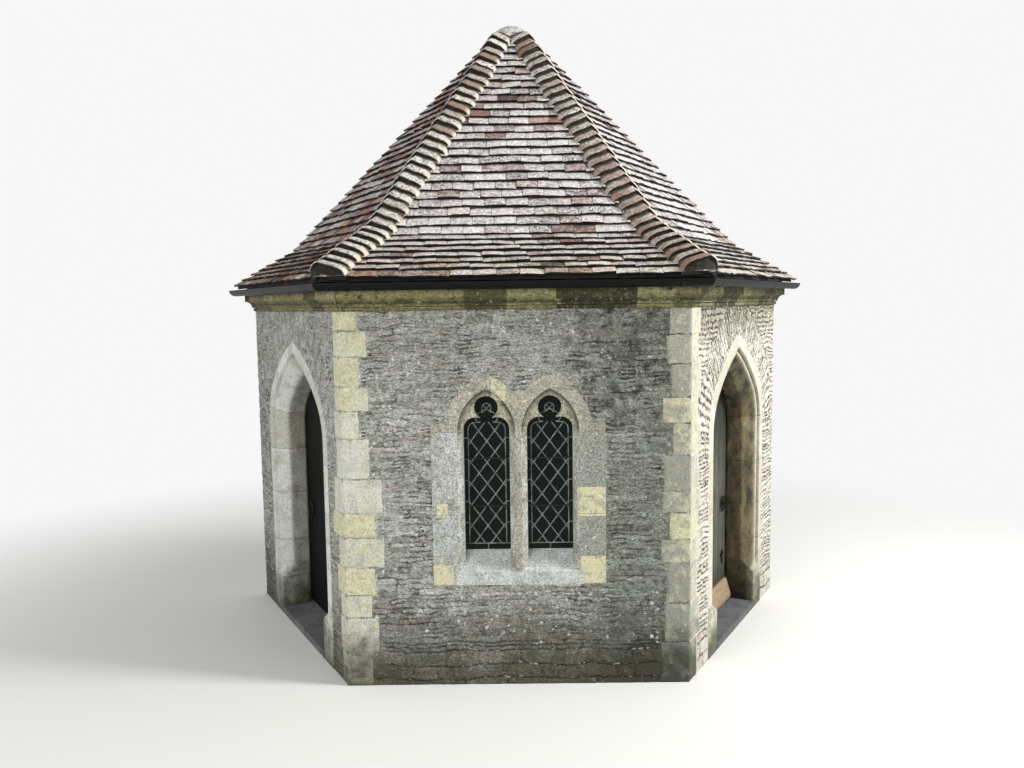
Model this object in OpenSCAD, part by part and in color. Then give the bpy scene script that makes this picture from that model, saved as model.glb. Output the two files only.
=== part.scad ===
// Half-hexagonal stone porch with two pointed doorways, a two-light window and a tiled, bell-cast roof

/* [Plan] */
// Length of the front wall on its outer face
front_w = 2500; // [2200:10:3000]
// Length of each splayed side wall on its outer face
side_w = 2400; // [2250:10:2800]
// Angle between the front wall and a side wall's line
splay = 60; // [56:1:64]
// Thickness of the walls
wall_t = 400; // [380:5:450]
// Setback of the rubble's bed behind the face of the dressed stones
rubble_in = 12; // [6:1:20]
// Height of the wall face, from the ground to the underside of the cornice
wall_h = 2739; // [2650:1:2900]
// Height of the floor above the ground
floor_h = 70; // [50:5:100]

/* [Quoins] */
// Depth of the corner stones into the wall
quoin_bed = 200; // [150:5:240]
// Left corner stones from the ground up: height, length on the front, length on the side
left_quoins_cut = [[249, 197, 120], [256, 248, 140], [168, 204, 120], [205, 230, 180], [219, 303, 125],
    [175, 237, 240], [249, 296, 190], [292, 212, 120], [197, 142, 150], [175, 215, 120],
    [212, 153, 130], [183, 212, 120], [139, 150, 120]];
// Right corner stones from the ground up: height, length on the front, length on the side
right_quoins_cut = [[300, 219, 170], [285, 190, 225], [292, 175, 165], [168, 219, 220], [197, 160, 170],
    [154, 212, 230], [256, 204, 180], [227, 139, 225], [183, 212, 160], [234, 153, 230],
    [205, 182, 170], [190, 168, 220]];

/* [Doorways] */
// Width of the left doorway between its outer arrises
left_door_w = 1400; // [1260:5:1440]
// Rubble between the longest left corner stone and the left doorway's dressed ring
left_door_gap = 90; // [20:5:120]
// Width of the right doorway between its outer arrises
right_door_w = 1300; // [1200:5:1360]
// Rubble between the longest right corner stone and the right doorway's dressed ring
right_door_gap = 202; // [100:2:230]
// Height of the springing line above the ground
door_spring = 1740; // [1650:5:1800]
// Rise of the outer arris from the springing line to the point of the arch
door_rise = 615; // [560:5:660]
// Radius of the haunches, where the four-centred arch leaves the jambs
haunch_r = 360; // [330:5:400]
// Sideways and upward shares of the line on which both centres of one side lie
lean = [20, 21]; // [18:1:23]
// Width of the dressed ring on the wall face, outside the arris
ring_w = 140; // [100:5:150]
// Width and depth of the groove that parts the ring from the inner order
groove = 18; // [10:1:24]
// Size of the chamfer between the groove and the reveal
chamfer = 105; // [90:5:120]
// Depth of the dressed stones, from the wall face to the door
jamb_d = 260; // [240:5:280]
// Height of the square block at the foot of each jamb, where the chamfer stops
stop_h = 330; // [250:5:400]
// Height of the slope above that block
stop_rise = 100; // [60:5:140]
// Height of the threshold stone above the ground
sill_h = 60; // [45:5:65]

/* [Doors] */
// Thickness of the door boards
leaf_t = 45; // [38:1:50]
// Overlap of the door behind the jambs on each side
leaf_lap = 28; // [20:1:32]
// Clearance between the door and the stone behind which it shuts
door_gap = 5; // [4:0.5:6]
// Clearance between the door's foot and the floor
foot_gap = 10; // [8:1:16]
// Clearance round the door's edge in the rebate
edge_gap = 14; // [12:1:18]
// Thickness of the ledges nailed across the back of the boards
ledge_t = 28; // [24:1:32]
// Height of a ledge
ledge_h = 130; // [100:5:160]
// Length of a strap hinge along the door
strap_l = 640; // [400:10:800]
// Outer diameter of the ring handle
ring_d = 140; // [110:5:160]
// Thickness of the ring's bar
ring_bar = 14; // [10:1:18]
// Height of the weatherboard at the foot of the right door
weather_h = 170; // [120:5:200]
// Projection of the weatherboard at its lower edge
weather_out = 62; // [40:1:80]
// Clearance between the weatherboard's ends and the jambs
weather_gap = 14; // [12:1:20]

/* [Window] */
// Sideways place of the window's middle on the front wall
window_x = 18; // [-60:2:60]
// Width of each light
light_w = 332; // [300:2:360]
// Width of the mullion between the glass of the lights
mullion_w = 126; // [115:1:140]
// Size of the chamfer round each light
light_chamfer = 44; // [38:1:50]
// Height of the springing line of the two lights
light_spring = 1866; // [1800:2:1900]
// Rise of the pointed arch on the face of each light
light_rise = 312; // [300:2:330]
// Radius of the upper foil of each light
top_foil = 86; // [78:1:94]
// Radius of the side foils of each light
side_foil = 88; // [80:1:96]
// Width of the dressed stone outside the chamfer
surround_w = 185; // [150:5:200]
// Width of the arched ring over each light
head_ring = 92; // [80:1:110]
// Depth of the window's dressed stones into the wall
surround_d = 250; // [220:5:280]
// Depth of the glass behind the wall face
glass_in = 135; // [125:1:150]
// Thickness of the leaded glass
glass_t = 6; // [4:1:8]
// Height of the underside of the sill
sill_low = 747; // [700:1:800]
// Height of the sill's front face
sill_face = 96; // [80:1:110]
// Height that the sill's slope rises from the face to the glass
sill_slope = 132; // [100:2:150]

/* [Cornice and gutter] */
// Projection of the cornice from the wall face
cornice_out = 80; // [60:1:90]
// Height of the cornice
cornice_h = 186; // [170:2:200]
// Height of the cornice's plain top band
cornice_band = 100; // [90:1:110]
// Depth of the cornice stones onto the wall
cornice_bed = 220; // [200:5:240]
// Radius of the roll at the foot of the cornice
cornice_roll = 12; // [9:1:14]
// Outer radius of the half-round gutter
gutter_r = 54; // [48:1:58]
// Thickness of the gutter's metal
gutter_t = 5; // [4:1:7]
// Distance of the gutter's middle from the wall face
gutter_at = 152; // [148:1:160]
// Height of the gutter's rim above the walls' top
gutter_up = 7; // [0:1:15]

/* [Roof] */
// Pitch of the upper part of the roof
pitch = 50; // [48:0.5:51]
// Distance inside the wall face where the pitch changes
kick_in = 330; // [300:5:345]
// Height of that change of pitch above the walls' top
kick_up = 352; // [340:1:370]
// Overhang of the tiles beyond the wall face
eaves_out = 130; // [120:1:140]
// Height of the top of the lowest tiles above the walls' top
eaves_up = 60; // [55:1:75]
// Thickness of tiles and battens, measured upright
cover_t = 92; // [80:1:100]
// Thickness of the tiles at the eaves
eaves_t = 42; // [35:1:50]
// Radius of the rounded hip tiles
hip_r = 118; // [100:1:130]
// Height that the hip tiles stand above the meeting of the slopes
hip_rise = 42; // [30:1:60]
// Radius of the mortar cap on the apex
cap_r = 190; // [170:1:205]
// Width of the cut tiles' rim that shows round the cap's foot
cap_lap = 18; // [10:1:30]

/* [Roof timbers] */
// Depth of a rafter, measured upright
rafter_deep = 150; // [120:5:160]
// Width of a rafter
rafter_w = 60; // [50:5:75]
// Spacing of the rafters
rafter_gap = 400; // [380:5:430]
// Width of a hip rafter
hip_w = 76; // [65:1:90]
// Depth of a hip rafter, measured upright
hip_deep = 210; // [180:5:240]
// Width of the wall plate
plate_w = 100; // [90:5:120]
// Height of the wall plate
plate_h = 75; // [60:1:90]
// Distance of the wall plate's outer edge from the wall face
plate_in = 270; // [260:1:275]
// Width of the apex post
post_w = 140; // [120:5:160]

/* [Hidden] */
$fn = 64;

LEFT = -1;
RIGHT = 1;
// Clearance at seats between pieces that stand at an angle to each other
bed = 0.2;
// How far a cutting shape runs past the face that it cuts
past = 2;
// Long enough to cut right through any piece
far = 9000;

// Depth of the porch from the front face to the church wall, and the places of both in the part's frame
depth = side_w * sin(splay);
front_y = -(depth - gutter_at - gutter_r) / 2;
back_y = front_y + depth;
// Shift along a wall for each millimetre of depth at a mitred corner
mitre = tan(splay / 2);
wall_top = wall_h + cornice_h;

// Distances from the foot of the apex to the wall faces, and the hip's line in plan
side_run = front_w / 2 * sin(splay) + depth * cos(splay);
hip_run = sqrt(pow(front_w / 2, 2) + pow(depth, 2));
hip_turn = atan2(front_w / 2, depth);
kick_z = wall_top + kick_up;
// Height at which the three slopes would meet, and that of the cap's foot
apex_z = kick_z + tan(pitch) * (depth - kick_in);
cap_z = apex_z - tan(pitch) * (cap_r + cap_lap);
eaves_z = wall_top + eaves_up;
gutter_z = wall_top + gutter_up;
plate_top = wall_top + plate_h;

function door_w(s) = s == LEFT ? left_door_w : right_door_w;
function stones(s) = s == LEFT ? left_quoins_cut : right_quoins_cut;
function longest_leg(s) = max([for (stone = stones(s)) stone[2]]);
function door_at(s) = longest_leg(s) + (s == LEFT ? left_door_gap : right_door_gap) + ring_w + door_w(s) / 2;
function clear_half(s) = door_w(s) / 2 - chamfer;
function sum_to(list, n) = n < 0 ? 0 : list[n][0] + sum_to(list, n - 1);

// A side wall's own frame: x along the wall from the front corner, y into the wall, z up
module on_side(s) {
    mirror([s == LEFT ? 1 : 0, 0, 0])
        translate([front_w / 2, front_y, 0]) rotate([0, 0, splay]) children();
}

// The front wall's own frame: x from its middle, y into the wall, z up
module on_front() {
    translate([0, front_y, 0]) children();
}

// Everything in front of the church wall
module before_back() {
    intersection() {
        children();
        translate([-far / 2, back_y - far, -far / 2]) cube([far, far, far]);
    }
}

// Section of a wall from its face inwards, with a ledge at the top for the cornice
module wall_section(low, high) {
    if (high > wall_h)
        polygon([[rubble_in, low], [rubble_in, wall_h], [cornice_bed, wall_h], [cornice_bed, wall_top],
            [wall_t, wall_top], [wall_t, low]]);
    else
        polygon([[rubble_in, low], [rubble_in, high], [wall_t, high], [wall_t, low]]);
}

// A stretch of wall between two heights, from one place along it to another
module wall_run(from, to, low, high) {
    translate([from, 0, 0]) rotate([90, 0, 90]) linear_extrude(to - from) wall_section(low, high);
}

// Plan of the whole front wall and of a side wall, mitred at the corners
module front_plan() {
    outer = front_w / 2 - bed;
    inner = outer - wall_t * mitre;
    polygon([[-outer, 0], [outer, 0], [inner, wall_t], [-inner, wall_t]]);
}

module side_plan() {
    polygon([[0, 0], [side_w + wall_t, 0], [side_w + wall_t, wall_t], [wall_t * mitre, wall_t]]);
}

// One corner stone between two heights, with a leg on each wall. Grow pushes its two faces outwards, and
// seat its ends and its back.
module quoin_stone(s, on_face, on_side, low, high, grow, seat) {
    deep = quoin_bed + grow;
    on_front() mirror([s == LEFT ? 1 : 0, 0, 0])
        translate([front_w / 2 - on_face - seat, -grow, low]) cube([on_face + seat, deep + 3 * seat, high - low]);
    on_side(s) translate([0, -grow, low]) cube([on_side + seat, deep + seat, high - low]);
}

// The column of corner stones, from the ground to the cornice: a core with each stone's longer legs on it.
// The column that cuts their seat in the walls grows past the wall faces, so that no skin is left there.
module quoin_column(s, grow = 0, seat = 0) {
    cut = stones(s);
    last = len(cut) - 1;
    share = wall_h / sum_to(cut, last);
    top = wall_h - bed + grow;
    quoin_stone(s, min([for (stone = cut) stone[1]]), min([for (stone = cut) stone[2]]), -grow, top, grow, seat);
    for (i = [0 : last])
        quoin_stone(s, cut[i][1], cut[i][2], i == 0 ? -grow : round(share * sum_to(cut, i - 1)),
            i == last ? top : round(share * sum_to(cut, i)), grow, seat);
}

// Four-centred arch, of which the outer arris is the driving line. Where a haunch ends, the flatter upper
// arc takes over; its centre lies a whole number of lean steps back along the line through both centres.
function haunch_at(s) = [door_w(s) / 2 - haunch_r, door_spring];
function haunch_end(s) = haunch_at(s) + haunch_r * lean / norm(lean);
function to_point(s) = [0, door_spring + door_rise] - haunch_end(s);
function arc_ratio(s) = -(to_point(s) * to_point(s)) / 2 / (to_point(s) * lean);
function steps_back(s) = round(arc_ratio(s) - haunch_r / norm(lean));
function upper_r(s) = haunch_r + steps_back(s) * norm(lean);
function upper_at(s) = haunch_at(s) - steps_back(s) * lean;

// The sector that the haunch fills, and the one from the haunch's end to the arch's middle line
sector = ceil(far / norm(lean));
module haunch_sector(s) {
    c = haunch_at(s);
    polygon([c, c + [far, 0], c + sector * lean]);
}

module upper_sector(s) {
    c = haunch_at(s);
    polygon([c, c + sector * lean, [0, c[1] + sector * lean[1]], [0, c[1]]]);
}

// Right half of the arched outline, grown outwards by a distance
module half_arch(s, grow, low) {
    c = haunch_at(s);
    reach = far / 3;
    intersection() {
        union() {
            translate([0, low]) square([door_w(s) / 2 + grow, door_spring - low]);
            translate([0, low]) square([c[0], door_spring - low + haunch_r / 2]);
            translate(c) circle(r = haunch_r + grow, $fn = 192);
            intersection() {
                translate(upper_at(s)) circle(r = upper_r(s) + grow, $fn = 192);
                upper_sector(s);
            }
        }
        translate([0, low]) square([reach, reach]);
    }
}

module arch_outline(s, grow, low) {
    half_arch(s, grow, low);
    mirror([1, 0]) half_arch(s, grow, low);
}

// The arched outline made solid between two depths in a side wall
module arch_solid(s, grow, low, from, to) {
    translate([door_at(s), to, 0]) rotate([90, 0, 0]) linear_extrude(to - from) arch_outline(s, grow, low);
}

// Section of a jamb: x outwards from the outer arris, y into the wall
module jamb_section() {
    polygon([[ring_w, 0], [groove, 0], [groove, groove], [0, groove], [-chamfer, groove + chamfer],
        [-chamfer, jamb_d], [ring_w, jamb_d]]);
}

// The same with no chamfer, for the block at the foot
module foot_section() {
    polygon([[ring_w, 0], [-chamfer, 0], [-chamfer, jamb_d], [ring_w, jamb_d]]);
}

// Slope by which the square block at the foot runs out into the chamfer
module chamfer_stop() {
    reach = 2 * chamfer;
    intersection() {
        linear_extrude(stop_rise) foot_section();
        translate([-chamfer, 0, 0]) rotate([0, 0, 45]) rotate([90, 0, 0])
            linear_extrude(2 * reach, center = true)
                polygon([[0, 0], [reach, 0], [reach, stop_rise * reach * sqrt(2) / chamfer]]);
    }
}

// One jamb: side is -1 towards the front corner and 1 towards the church wall
module jamb(s, side) {
    on_side(s) translate([door_at(s), 0, 0]) mirror([side == -1 ? 1 : 0, 0, 0])
        translate([door_w(s) / 2, 0, 0]) {
            linear_extrude(stop_h) foot_section();
            translate([0, 0, stop_h]) {
                linear_extrude(door_spring - stop_h) jamb_section();
                chamfer_stop();
            }
        }
}

// The jamb's section carried round a centre, kept within a sector
module ring_part(centre, r) {
    intersection() {
        translate([centre[0], centre[1], 0]) rotate_extrude($fn = 192) translate([r, 0])
            mirror([0, 1]) jamb_section();
        translate([0, 0, -far / 2]) linear_extrude(far) children();
    }
}

// Half of the arch: the haunch and the flatter upper arc
module half_ring(s) {
    rotate([90, 0, 0]) {
        ring_part(haunch_at(s), haunch_r) haunch_sector(s);
        ring_part(upper_at(s), upper_r(s)) upper_sector(s);
    }
}

module door_ring(s) {
    on_side(s) translate([door_at(s), 0, 0]) {
        half_ring(s);
        mirror([1, 0, 0]) half_ring(s);
    }
}

// Square-headed recess behind the jambs, splayed towards the room, in which the door hangs
rear_splay = 40;
rear_head = 60;
module rear_recess(s) {
    half = clear_half(s) + leaf_lap + edge_gap;
    top = door_spring + door_rise + rear_head;
    wide = half + rear_splay * (wall_t + past - jamb_d) / (wall_t - jamb_d);
    translate([door_at(s), 0, 0]) linear_extrude(top)
        polygon([[-half, jamb_d], [half, jamb_d], [wide, wall_t + past], [-wide, wall_t + past]]);
}

// Everything that is cut out of a side wall for its doorway
module doorway_cut(s) {
    arch_solid(s, ring_w, -1, -1, jamb_d);
    rear_recess(s);
}

// A side wall between two places and two heights
module side_wall(s, from, to, low, high) {
    before_back() difference() {
        on_side(s) difference() {
            intersection() {
                wall_run(from, to, low, high);
                linear_extrude(wall_top + 1) side_plan();
            }
            doorway_cut(s);
        }
        quoin_column(s, grow = past, seat = bed);
    }
}

// The front wall between two places and two heights
module front_wall(from, to, low, high) {
    difference() {
        on_front() intersection() {
            wall_run(from, to, low, high);
            linear_extrude(wall_top + 1) front_plan();
        }
        on_front() window_cut();
        quoin_column(LEFT, grow = past, seat = bed);
        quoin_column(RIGHT, grow = past, seat = bed);
    }
}

// Plan of the porch drawn in from the wall faces by a distance, up to the church wall
module inset_plan(inset) {
    front_x = front_w / 2 - inset * mitre;
    back_x = front_w / 2 + depth / tan(splay) - inset / sin(splay);
    polygon([[-front_x, front_y + inset], [front_x, front_y + inset], [back_x, back_y], [-back_x, back_y]]);
}

module floor() {
    color("#8d8a82") linear_extrude(floor_h) inset_plan(wall_t);
}

// Threshold between the jambs, widening in the recess behind them
module threshold(s) {
    half = clear_half(s) - bed;
    rear = half + leaf_lap + edge_gap;
    color("#77756f") on_side(s) translate([door_at(s), 0, 0]) linear_extrude(sill_h)
        polygon([[-half, 0], [half, 0], [half, jamb_d], [rear, jamb_d], [rear + rear_splay, wall_t],
            [-rear - rear_splay, wall_t], [-rear, jamb_d], [-half, jamb_d]]);
}

module left_threshold() { threshold(LEFT); }
module right_threshold() { threshold(RIGHT); }

module left_quoins() { color("#b9b29b") quoin_column(LEFT); }
module right_quoins() { color("#b9b29b") quoin_column(RIGHT); }

// Edges of the wall stretches round the window
half_window = light_w + mullion_w / 2 + light_chamfer + surround_w;
window_left = window_x - half_window;
window_right = window_x + half_window;

module front_wall_foot() { color("#8f8b80") front_wall(window_left, window_right, 0, sill_low); }
module front_wall_left() { color("#8f8b80") front_wall(-front_w / 2, window_left, 0, light_spring); }
module front_wall_right() { color("#8f8b80") front_wall(window_right, front_w / 2, 0, light_spring); }
module front_wall_top() { color("#8f8b80") front_wall(-front_w / 2, front_w / 2, light_spring, wall_top); }

module left_wall_front() { color("#8f8b80") side_wall(LEFT, 0, door_at(LEFT), 0, door_spring); }
module left_wall_back() { color("#8f8b80") side_wall(LEFT, door_at(LEFT), side_w, 0, door_spring); }
module left_wall_top() { color("#8f8b80") side_wall(LEFT, 0, side_w, door_spring, wall_top); }
module right_wall_front() { color("#bdb6a4") side_wall(RIGHT, 0, door_at(RIGHT), 0, door_spring); }
module right_wall_back() { color("#bdb6a4") side_wall(RIGHT, door_at(RIGHT), side_w, 0, door_spring); }
module right_wall_top() { color("#bdb6a4") side_wall(RIGHT, 0, side_w, door_spring, wall_top); }

module left_front_jamb() { color("#c9c2a8") jamb(LEFT, -1); }
module left_back_jamb() { color("#c9c2a8") jamb(LEFT, 1); }
module left_arch() { color("#c9c2a8") door_ring(LEFT); }
module right_front_jamb() { color("#c9c2a8") jamb(RIGHT, -1); }
module right_back_jamb() { color("#c9c2a8") jamb(RIGHT, 1); }
module right_arch() { color("#c9c2a8") door_ring(RIGHT); }

// Two-centred arch over one light, grown outwards by a distance
light_half = light_w / 2 + light_chamfer;
light_r = (pow(light_half, 2) + pow(light_rise, 2)) / 2 / light_half;
light_at = (light_w + mullion_w) / 2;

module light_arch(grow) {
    intersection() {
        translate([light_half - light_r, 0]) circle(r = light_r + grow, $fn = 96);
        translate([light_r - light_half, 0]) circle(r = light_r + grow, $fn = 96);
        translate([-far / 2, 0]) square([far, far]);
    }
}

// Outline of the head stones: two arched rings with the valley between them filled
valley = 0.94;
head_foot = 60;
module head_outline() {
    for (side = [-1, 1])
        translate([side * light_at, light_spring]) light_arch(head_ring);
    translate([-light_at, light_spring]) square([2 * light_at, light_rise * valley]);
    translate([-half_window, light_spring]) square([2 * half_window, head_foot]);
}

// Opening of one light: straight sides, two side foils and an upper foil, whose crown is just below
// the point of the chamfered arch
foil_up = 14;
crown_gap = 9;
neck = 38;
top_foil_up = sqrt(pow(light_r - light_chamfer, 2) - pow(light_r - light_half, 2)) - crown_gap - top_foil;
module light_shape(low) {
    translate([-light_w / 2, low]) square([light_w, light_spring - low]);
    for (side = [-1, 1])
        translate([side * (light_w / 2 - side_foil), light_spring + foil_up]) circle(r = side_foil);
    translate([-light_w / 2, light_spring - 1]) square([light_w, foil_up + 1]);
    translate([-neck, light_spring]) square([2 * neck, top_foil_up]);
    translate([0, light_spring + top_foil_up]) circle(r = top_foil);
}

// The window's place in a section turned upright, between two depths
module window_solid(from, to) {
    translate([window_x, to, 0]) rotate([90, 0, 0]) linear_extrude(to - from) children();
}

// Everything that is cut out of the front wall for the window
module window_cut() {
    window_solid(-1, surround_d) {
        head_outline();
        translate([-half_window, sill_low]) square([2 * half_window, light_spring - sill_low]);
    }
    window_solid(surround_d, wall_t + 1)
        translate([-light_at - light_w / 2, glass_low])
            square([2 * light_at + light_w, light_spring + light_rise - glass_low]);
}

glass_low = sill_low + sill_face + sill_slope;
sill_half = half_window - surround_w + 20;

module window_sill() {
    color("#9b9a93") on_front() translate([window_x - sill_half, 0, 0]) rotate([90, 0, 90])
        linear_extrude(2 * sill_half) polygon([[0, sill_low], [0, sill_low + sill_face], [glass_in, glass_low],
            [surround_d, glass_low], [surround_d, sill_low]]);
}

// Chamfered sides: x outwards from the glass edge, y into the wall
module window_jamb_section(outer) {
    polygon([[light_chamfer, 0], [outer, 0], [outer, surround_d], [0, surround_d], [0, light_chamfer]]);
}

module window_jambs() {
    color("#c9c2a8") difference() {
        on_front() for (side = [-1, 1])
            translate([window_x + side * (light_at + light_w / 2), 0, sill_low])
                mirror([side == -1 ? 1 : 0, 0, 0]) linear_extrude(light_spring - sill_low)
                    window_jamb_section(light_chamfer + surround_w);
        window_sill();
    }
}

module window_mullion() {
    half = mullion_w / 2;
    color("#c9c2a8") difference() {
        on_front() translate([window_x, 0, sill_low]) linear_extrude(light_spring - sill_low)
            polygon([[-half + light_chamfer, 0], [half - light_chamfer, 0], [half, light_chamfer],
                [half, surround_d], [-half, surround_d], [-half, light_chamfer]]);
        window_sill();
    }
}

module window_head() {
    color("#c9c2a8") on_front() difference() {
        window_solid(0, surround_d) head_outline();
        for (side = [-1, 1]) translate([side * light_at, 0, 0]) {
            window_solid(-1, light_chamfer) translate([0, light_spring]) light_arch(-light_chamfer);
            window_solid(-1, surround_d + 1) light_shape(light_spring - 1);
            translate([window_x, 0, light_spring]) arch_chamfer();
        }
    }
}

// The chamfer carried round both arcs of a light's pointed arch
module arch_chamfer() {
    for (side = [0, 1]) mirror([side, 0, 0]) intersection() {
        translate([light_half - light_r, 0, 0]) rotate([90, 0, 0]) rotate([0, 0, -5])
            rotate_extrude(angle = 90, $fn = 96) translate([light_r, 0])
                polygon([[-light_chamfer - 1, 1], [1, 1], [-light_chamfer - 1, -light_chamfer - 1]]);
        translate([0, -far / 2, -1]) cube([far, far, far]);
    }
}

module window_glass() {
    color("#2c3a36", 0.6) on_front() for (side = [-1, 1]) translate([side * light_at, 0, 0])
        window_solid(glass_in, glass_in + glass_t) light_shape(glass_low);
}

// Cornice in section: x outwards from the wall face, z up, with a roll, a hollow and a plain band
module cornice_section() {
    quirk = 2 * cornice_roll + 5;
    hollow = cornice_h - cornice_band - quirk;
    difference() {
        polygon([[-cornice_bed, 0], [0, 0], [0, quirk], [cornice_out - hollow, quirk],
            [cornice_out, quirk + hollow], [cornice_out, cornice_h], [-cornice_bed, cornice_h]]);
        translate([cornice_out, quirk]) circle(r = hollow);
    }
    translate([0, cornice_roll]) circle(r = cornice_roll);
    translate([0, 0]) square([cornice_roll, 2 * cornice_roll]);
}

// A length of moulding carried along a wall, outwards from its face, from x = 0 to the given end
module moulding(length) {
    rotate([90, 0, 90]) linear_extrude(length) mirror([1, 0]) children();
}

// Region in front of the wall line between the two mitred corners, and beside a side wall
module front_mitre() {
    reach = 600;
    linear_extrude(far) polygon([[-front_w / 2 - reach * mitre, -reach], [front_w / 2 + reach * mitre, -reach],
        [front_w / 2 - reach * mitre, reach], [-front_w / 2 + reach * mitre, reach]]);
}

module side_mitre() {
    reach = 600;
    linear_extrude(far) polygon([[-reach * mitre, -reach], [side_w + reach, -reach],
        [side_w + reach, reach], [reach * mitre, reach]]);
}

module front_cornice() {
    color("#a59f6d") on_front() intersection() {
        translate([-front_w, 0, wall_h]) moulding(2 * front_w) cornice_section();
        front_mitre();
    }
}

module side_cornice(s) {
    color("#a59f6d") before_back() on_side(s) intersection() {
        translate([-side_w / 2, 0, wall_h]) moulding(2 * side_w) cornice_section();
        side_mitre();
    }
}

module left_cornice() { side_cornice(LEFT); }
module right_cornice() { side_cornice(RIGHT); }

// Half-round gutter in section, with its rim at z = 0
module gutter_section() {
    difference() {
        circle(r = gutter_r);
        circle(r = gutter_r - gutter_t);
        translate([-gutter_r - 1, 0]) square([2 * gutter_r + 2, gutter_r + 1]);
    }
}

// Arm that carries the gutter on the cornice
bracket_w = 24;
bracket_h = 12;
module bracket() {
    translate([-bracket_w / 2, -gutter_at + gutter_r - gutter_t / 2, -gutter_t - bracket_h])
        cube([bracket_w, gutter_at - gutter_r + gutter_t / 2 - cornice_out, bracket_h]);
}

module front_gutter() {
    color("#23252a") on_front() translate([0, 0, gutter_z]) {
        intersection() {
            translate([-front_w, 0, 0]) moulding(2 * front_w) translate([gutter_at, 0]) gutter_section();
            translate([0, 0, -far / 2]) front_mitre();
        }
        for (i = [-1 : 1]) translate([i * front_w * 0.4, 0, 0]) bracket();
    }
}

module side_gutter(s) {
    color("#23252a") before_back() on_side(s) translate([0, 0, gutter_z]) {
        intersection() {
            translate([-side_w / 2, 0, 0]) moulding(2 * side_w) translate([gutter_at, 0]) gutter_section();
            translate([0, 0, -far / 2]) side_mitre();
        }
        for (i = [0 : 2]) translate([side_w * (0.1 + 0.4 * i), 0, 0]) bracket();
    }
}

module left_gutter() { side_gutter(LEFT); }
module right_gutter() { side_gutter(RIGHT); }

// A slope's own frame: its foot lies along x, at a distance -y from the foot of the apex
module on_slope(turn) {
    translate([0, back_y, 0]) rotate([0, 0, turn]) children();
}

// Plan of the ground under each slope, between its hips or its hip and the church wall
module front_wedge() {
    x = far * sin(hip_turn);
    y = -far * cos(hip_turn);
    translate([0, back_y]) polygon([[0, 0], [-x, y], [x, y]]);
}

module side_wedge(s) {
    x = far * sin(hip_turn);
    y = -far * cos(hip_turn);
    translate([0, back_y]) polygon([[0, 0], [s * x, y], [s * far, y], [s * far, 0]]);
}

// Points of the roof's upper line for a slope of a given run, as distance from the apex and height
function eaves_at(run) = [run * (depth + eaves_out) / depth, eaves_z];
function kick_at(run) = [run * (depth - kick_in) / depth, kick_z];

module cover_section(run) {
    polygon([[0, apex_z], [0, apex_z - cover_t], kick_at(run) - [0, cover_t], eaves_at(run) - [0, eaves_t],
        eaves_at(run), kick_at(run)]);
}

// Everything below the roof's upper line
module under_section(run) {
    polygon([[0, apex_z], [0, 0], [eaves_at(run)[0], 0], eaves_at(run), kick_at(run)]);
}

// A section carried along the whole slope
module slope_sheet(turn) {
    on_slope(turn) translate([-far / 2, 0, 0]) rotate([90, 0, 90]) linear_extrude(far)
        mirror([1, 0]) children();
}

module below_cap() {
    intersection() {
        children();
        translate([-far / 2, -far / 2, 0]) cube([far, far, cap_z]);
    }
}

module front_tiles() {
    color("#9d7767") below_cap() intersection() {
        slope_sheet(0) cover_section(depth);
        linear_extrude(far) front_wedge();
    }
}

module side_tiles(s) {
    color("#9d7767") below_cap() intersection() {
        slope_sheet(s * splay) cover_section(side_run);
        linear_extrude(far) side_wedge(s);
    }
}

module left_tiles() { side_tiles(LEFT); }
module right_tiles() { side_tiles(RIGHT); }

// A rounded bar along a hip between two points of the roof's line
module hip_bar(s, a, b) {
    tilt = atan2(a[1] - b[1], b[0] - a[0]);
    length = norm(b - a);
    on_slope(s * hip_turn) translate([0, -a[0], a[1] + hip_rise - hip_r]) rotate([90 + tilt, 0, 0])
        translate([0, 0, -hip_r / 2]) cylinder(r = hip_r, h = length + hip_r);
}

module hip_tiles() {
    top = [0, apex_z];
    color("#a98a76") for (s = [LEFT, RIGHT]) difference() {
        intersection() {
            union() {
                hip_bar(s, top, kick_at(hip_run));
                hip_bar(s, kick_at(hip_run), eaves_at(hip_run));
            }
            on_slope(0) linear_extrude(cap_z + cap_r / 3) eaves_plan();
        }
        intersection() {
            slope_sheet(0) under_section(depth);
            slope_sheet(s * splay) under_section(side_run);
        }
        translate([0, back_y, 0]) cylinder(r = cap_r, h = far);
    }
}

// Plan of the tiled roof out to the eaves, in the frame of the front slope
module eaves_plan() {
    corner = eaves_at(hip_run)[0];
    x = corner * sin(hip_turn);
    y = -corner * cos(hip_turn);
    end = front_w / 2 + depth / tan(splay) + eaves_at(side_run)[0] / sin(splay) - side_run / sin(splay);
    polygon([[-x, y], [x, y], [end, 0], [-end, 0]]);
}

module apex_cap() {
    color("#c8c4b8") translate([0, back_y, cap_z]) intersection() {
        sphere(r = cap_r);
        translate([-cap_r, -cap_r, 0]) cube([2 * cap_r, cap_r, cap_r]);
    }
}

// Section of a rafter with its sprocketed foot, notched over the wall plate
foot_out = 60;
module rafter_section(run) {
    plate_edge = run - plate_in + bed;
    on_plate = plate_top + bed;
    low = apex_z - cover_t - rafter_deep;
    seat = (low - on_plate) / tan(pitch) * run / depth;
    end = run + foot_out;
    drop = (kick_z - cover_t - eaves_z + eaves_t) / (eaves_at(run)[0] - kick_at(run)[0]);
    end_top = eaves_z - eaves_t + drop * (eaves_at(run)[0] - end);
    polygon([[0, low], [0, apex_z - cover_t - bed], kick_at(run) - [0, cover_t + bed], [end, end_top - bed],
        [end, wall_top], [plate_edge, wall_top], [plate_edge, on_plate], [seat, on_plate]]);
}

// Half of the apex post in plan, and the room that the hip rafters take
module post_plan() {
    translate([-post_w / 2, back_y - post_w]) square([post_w, post_w]);
}

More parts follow.
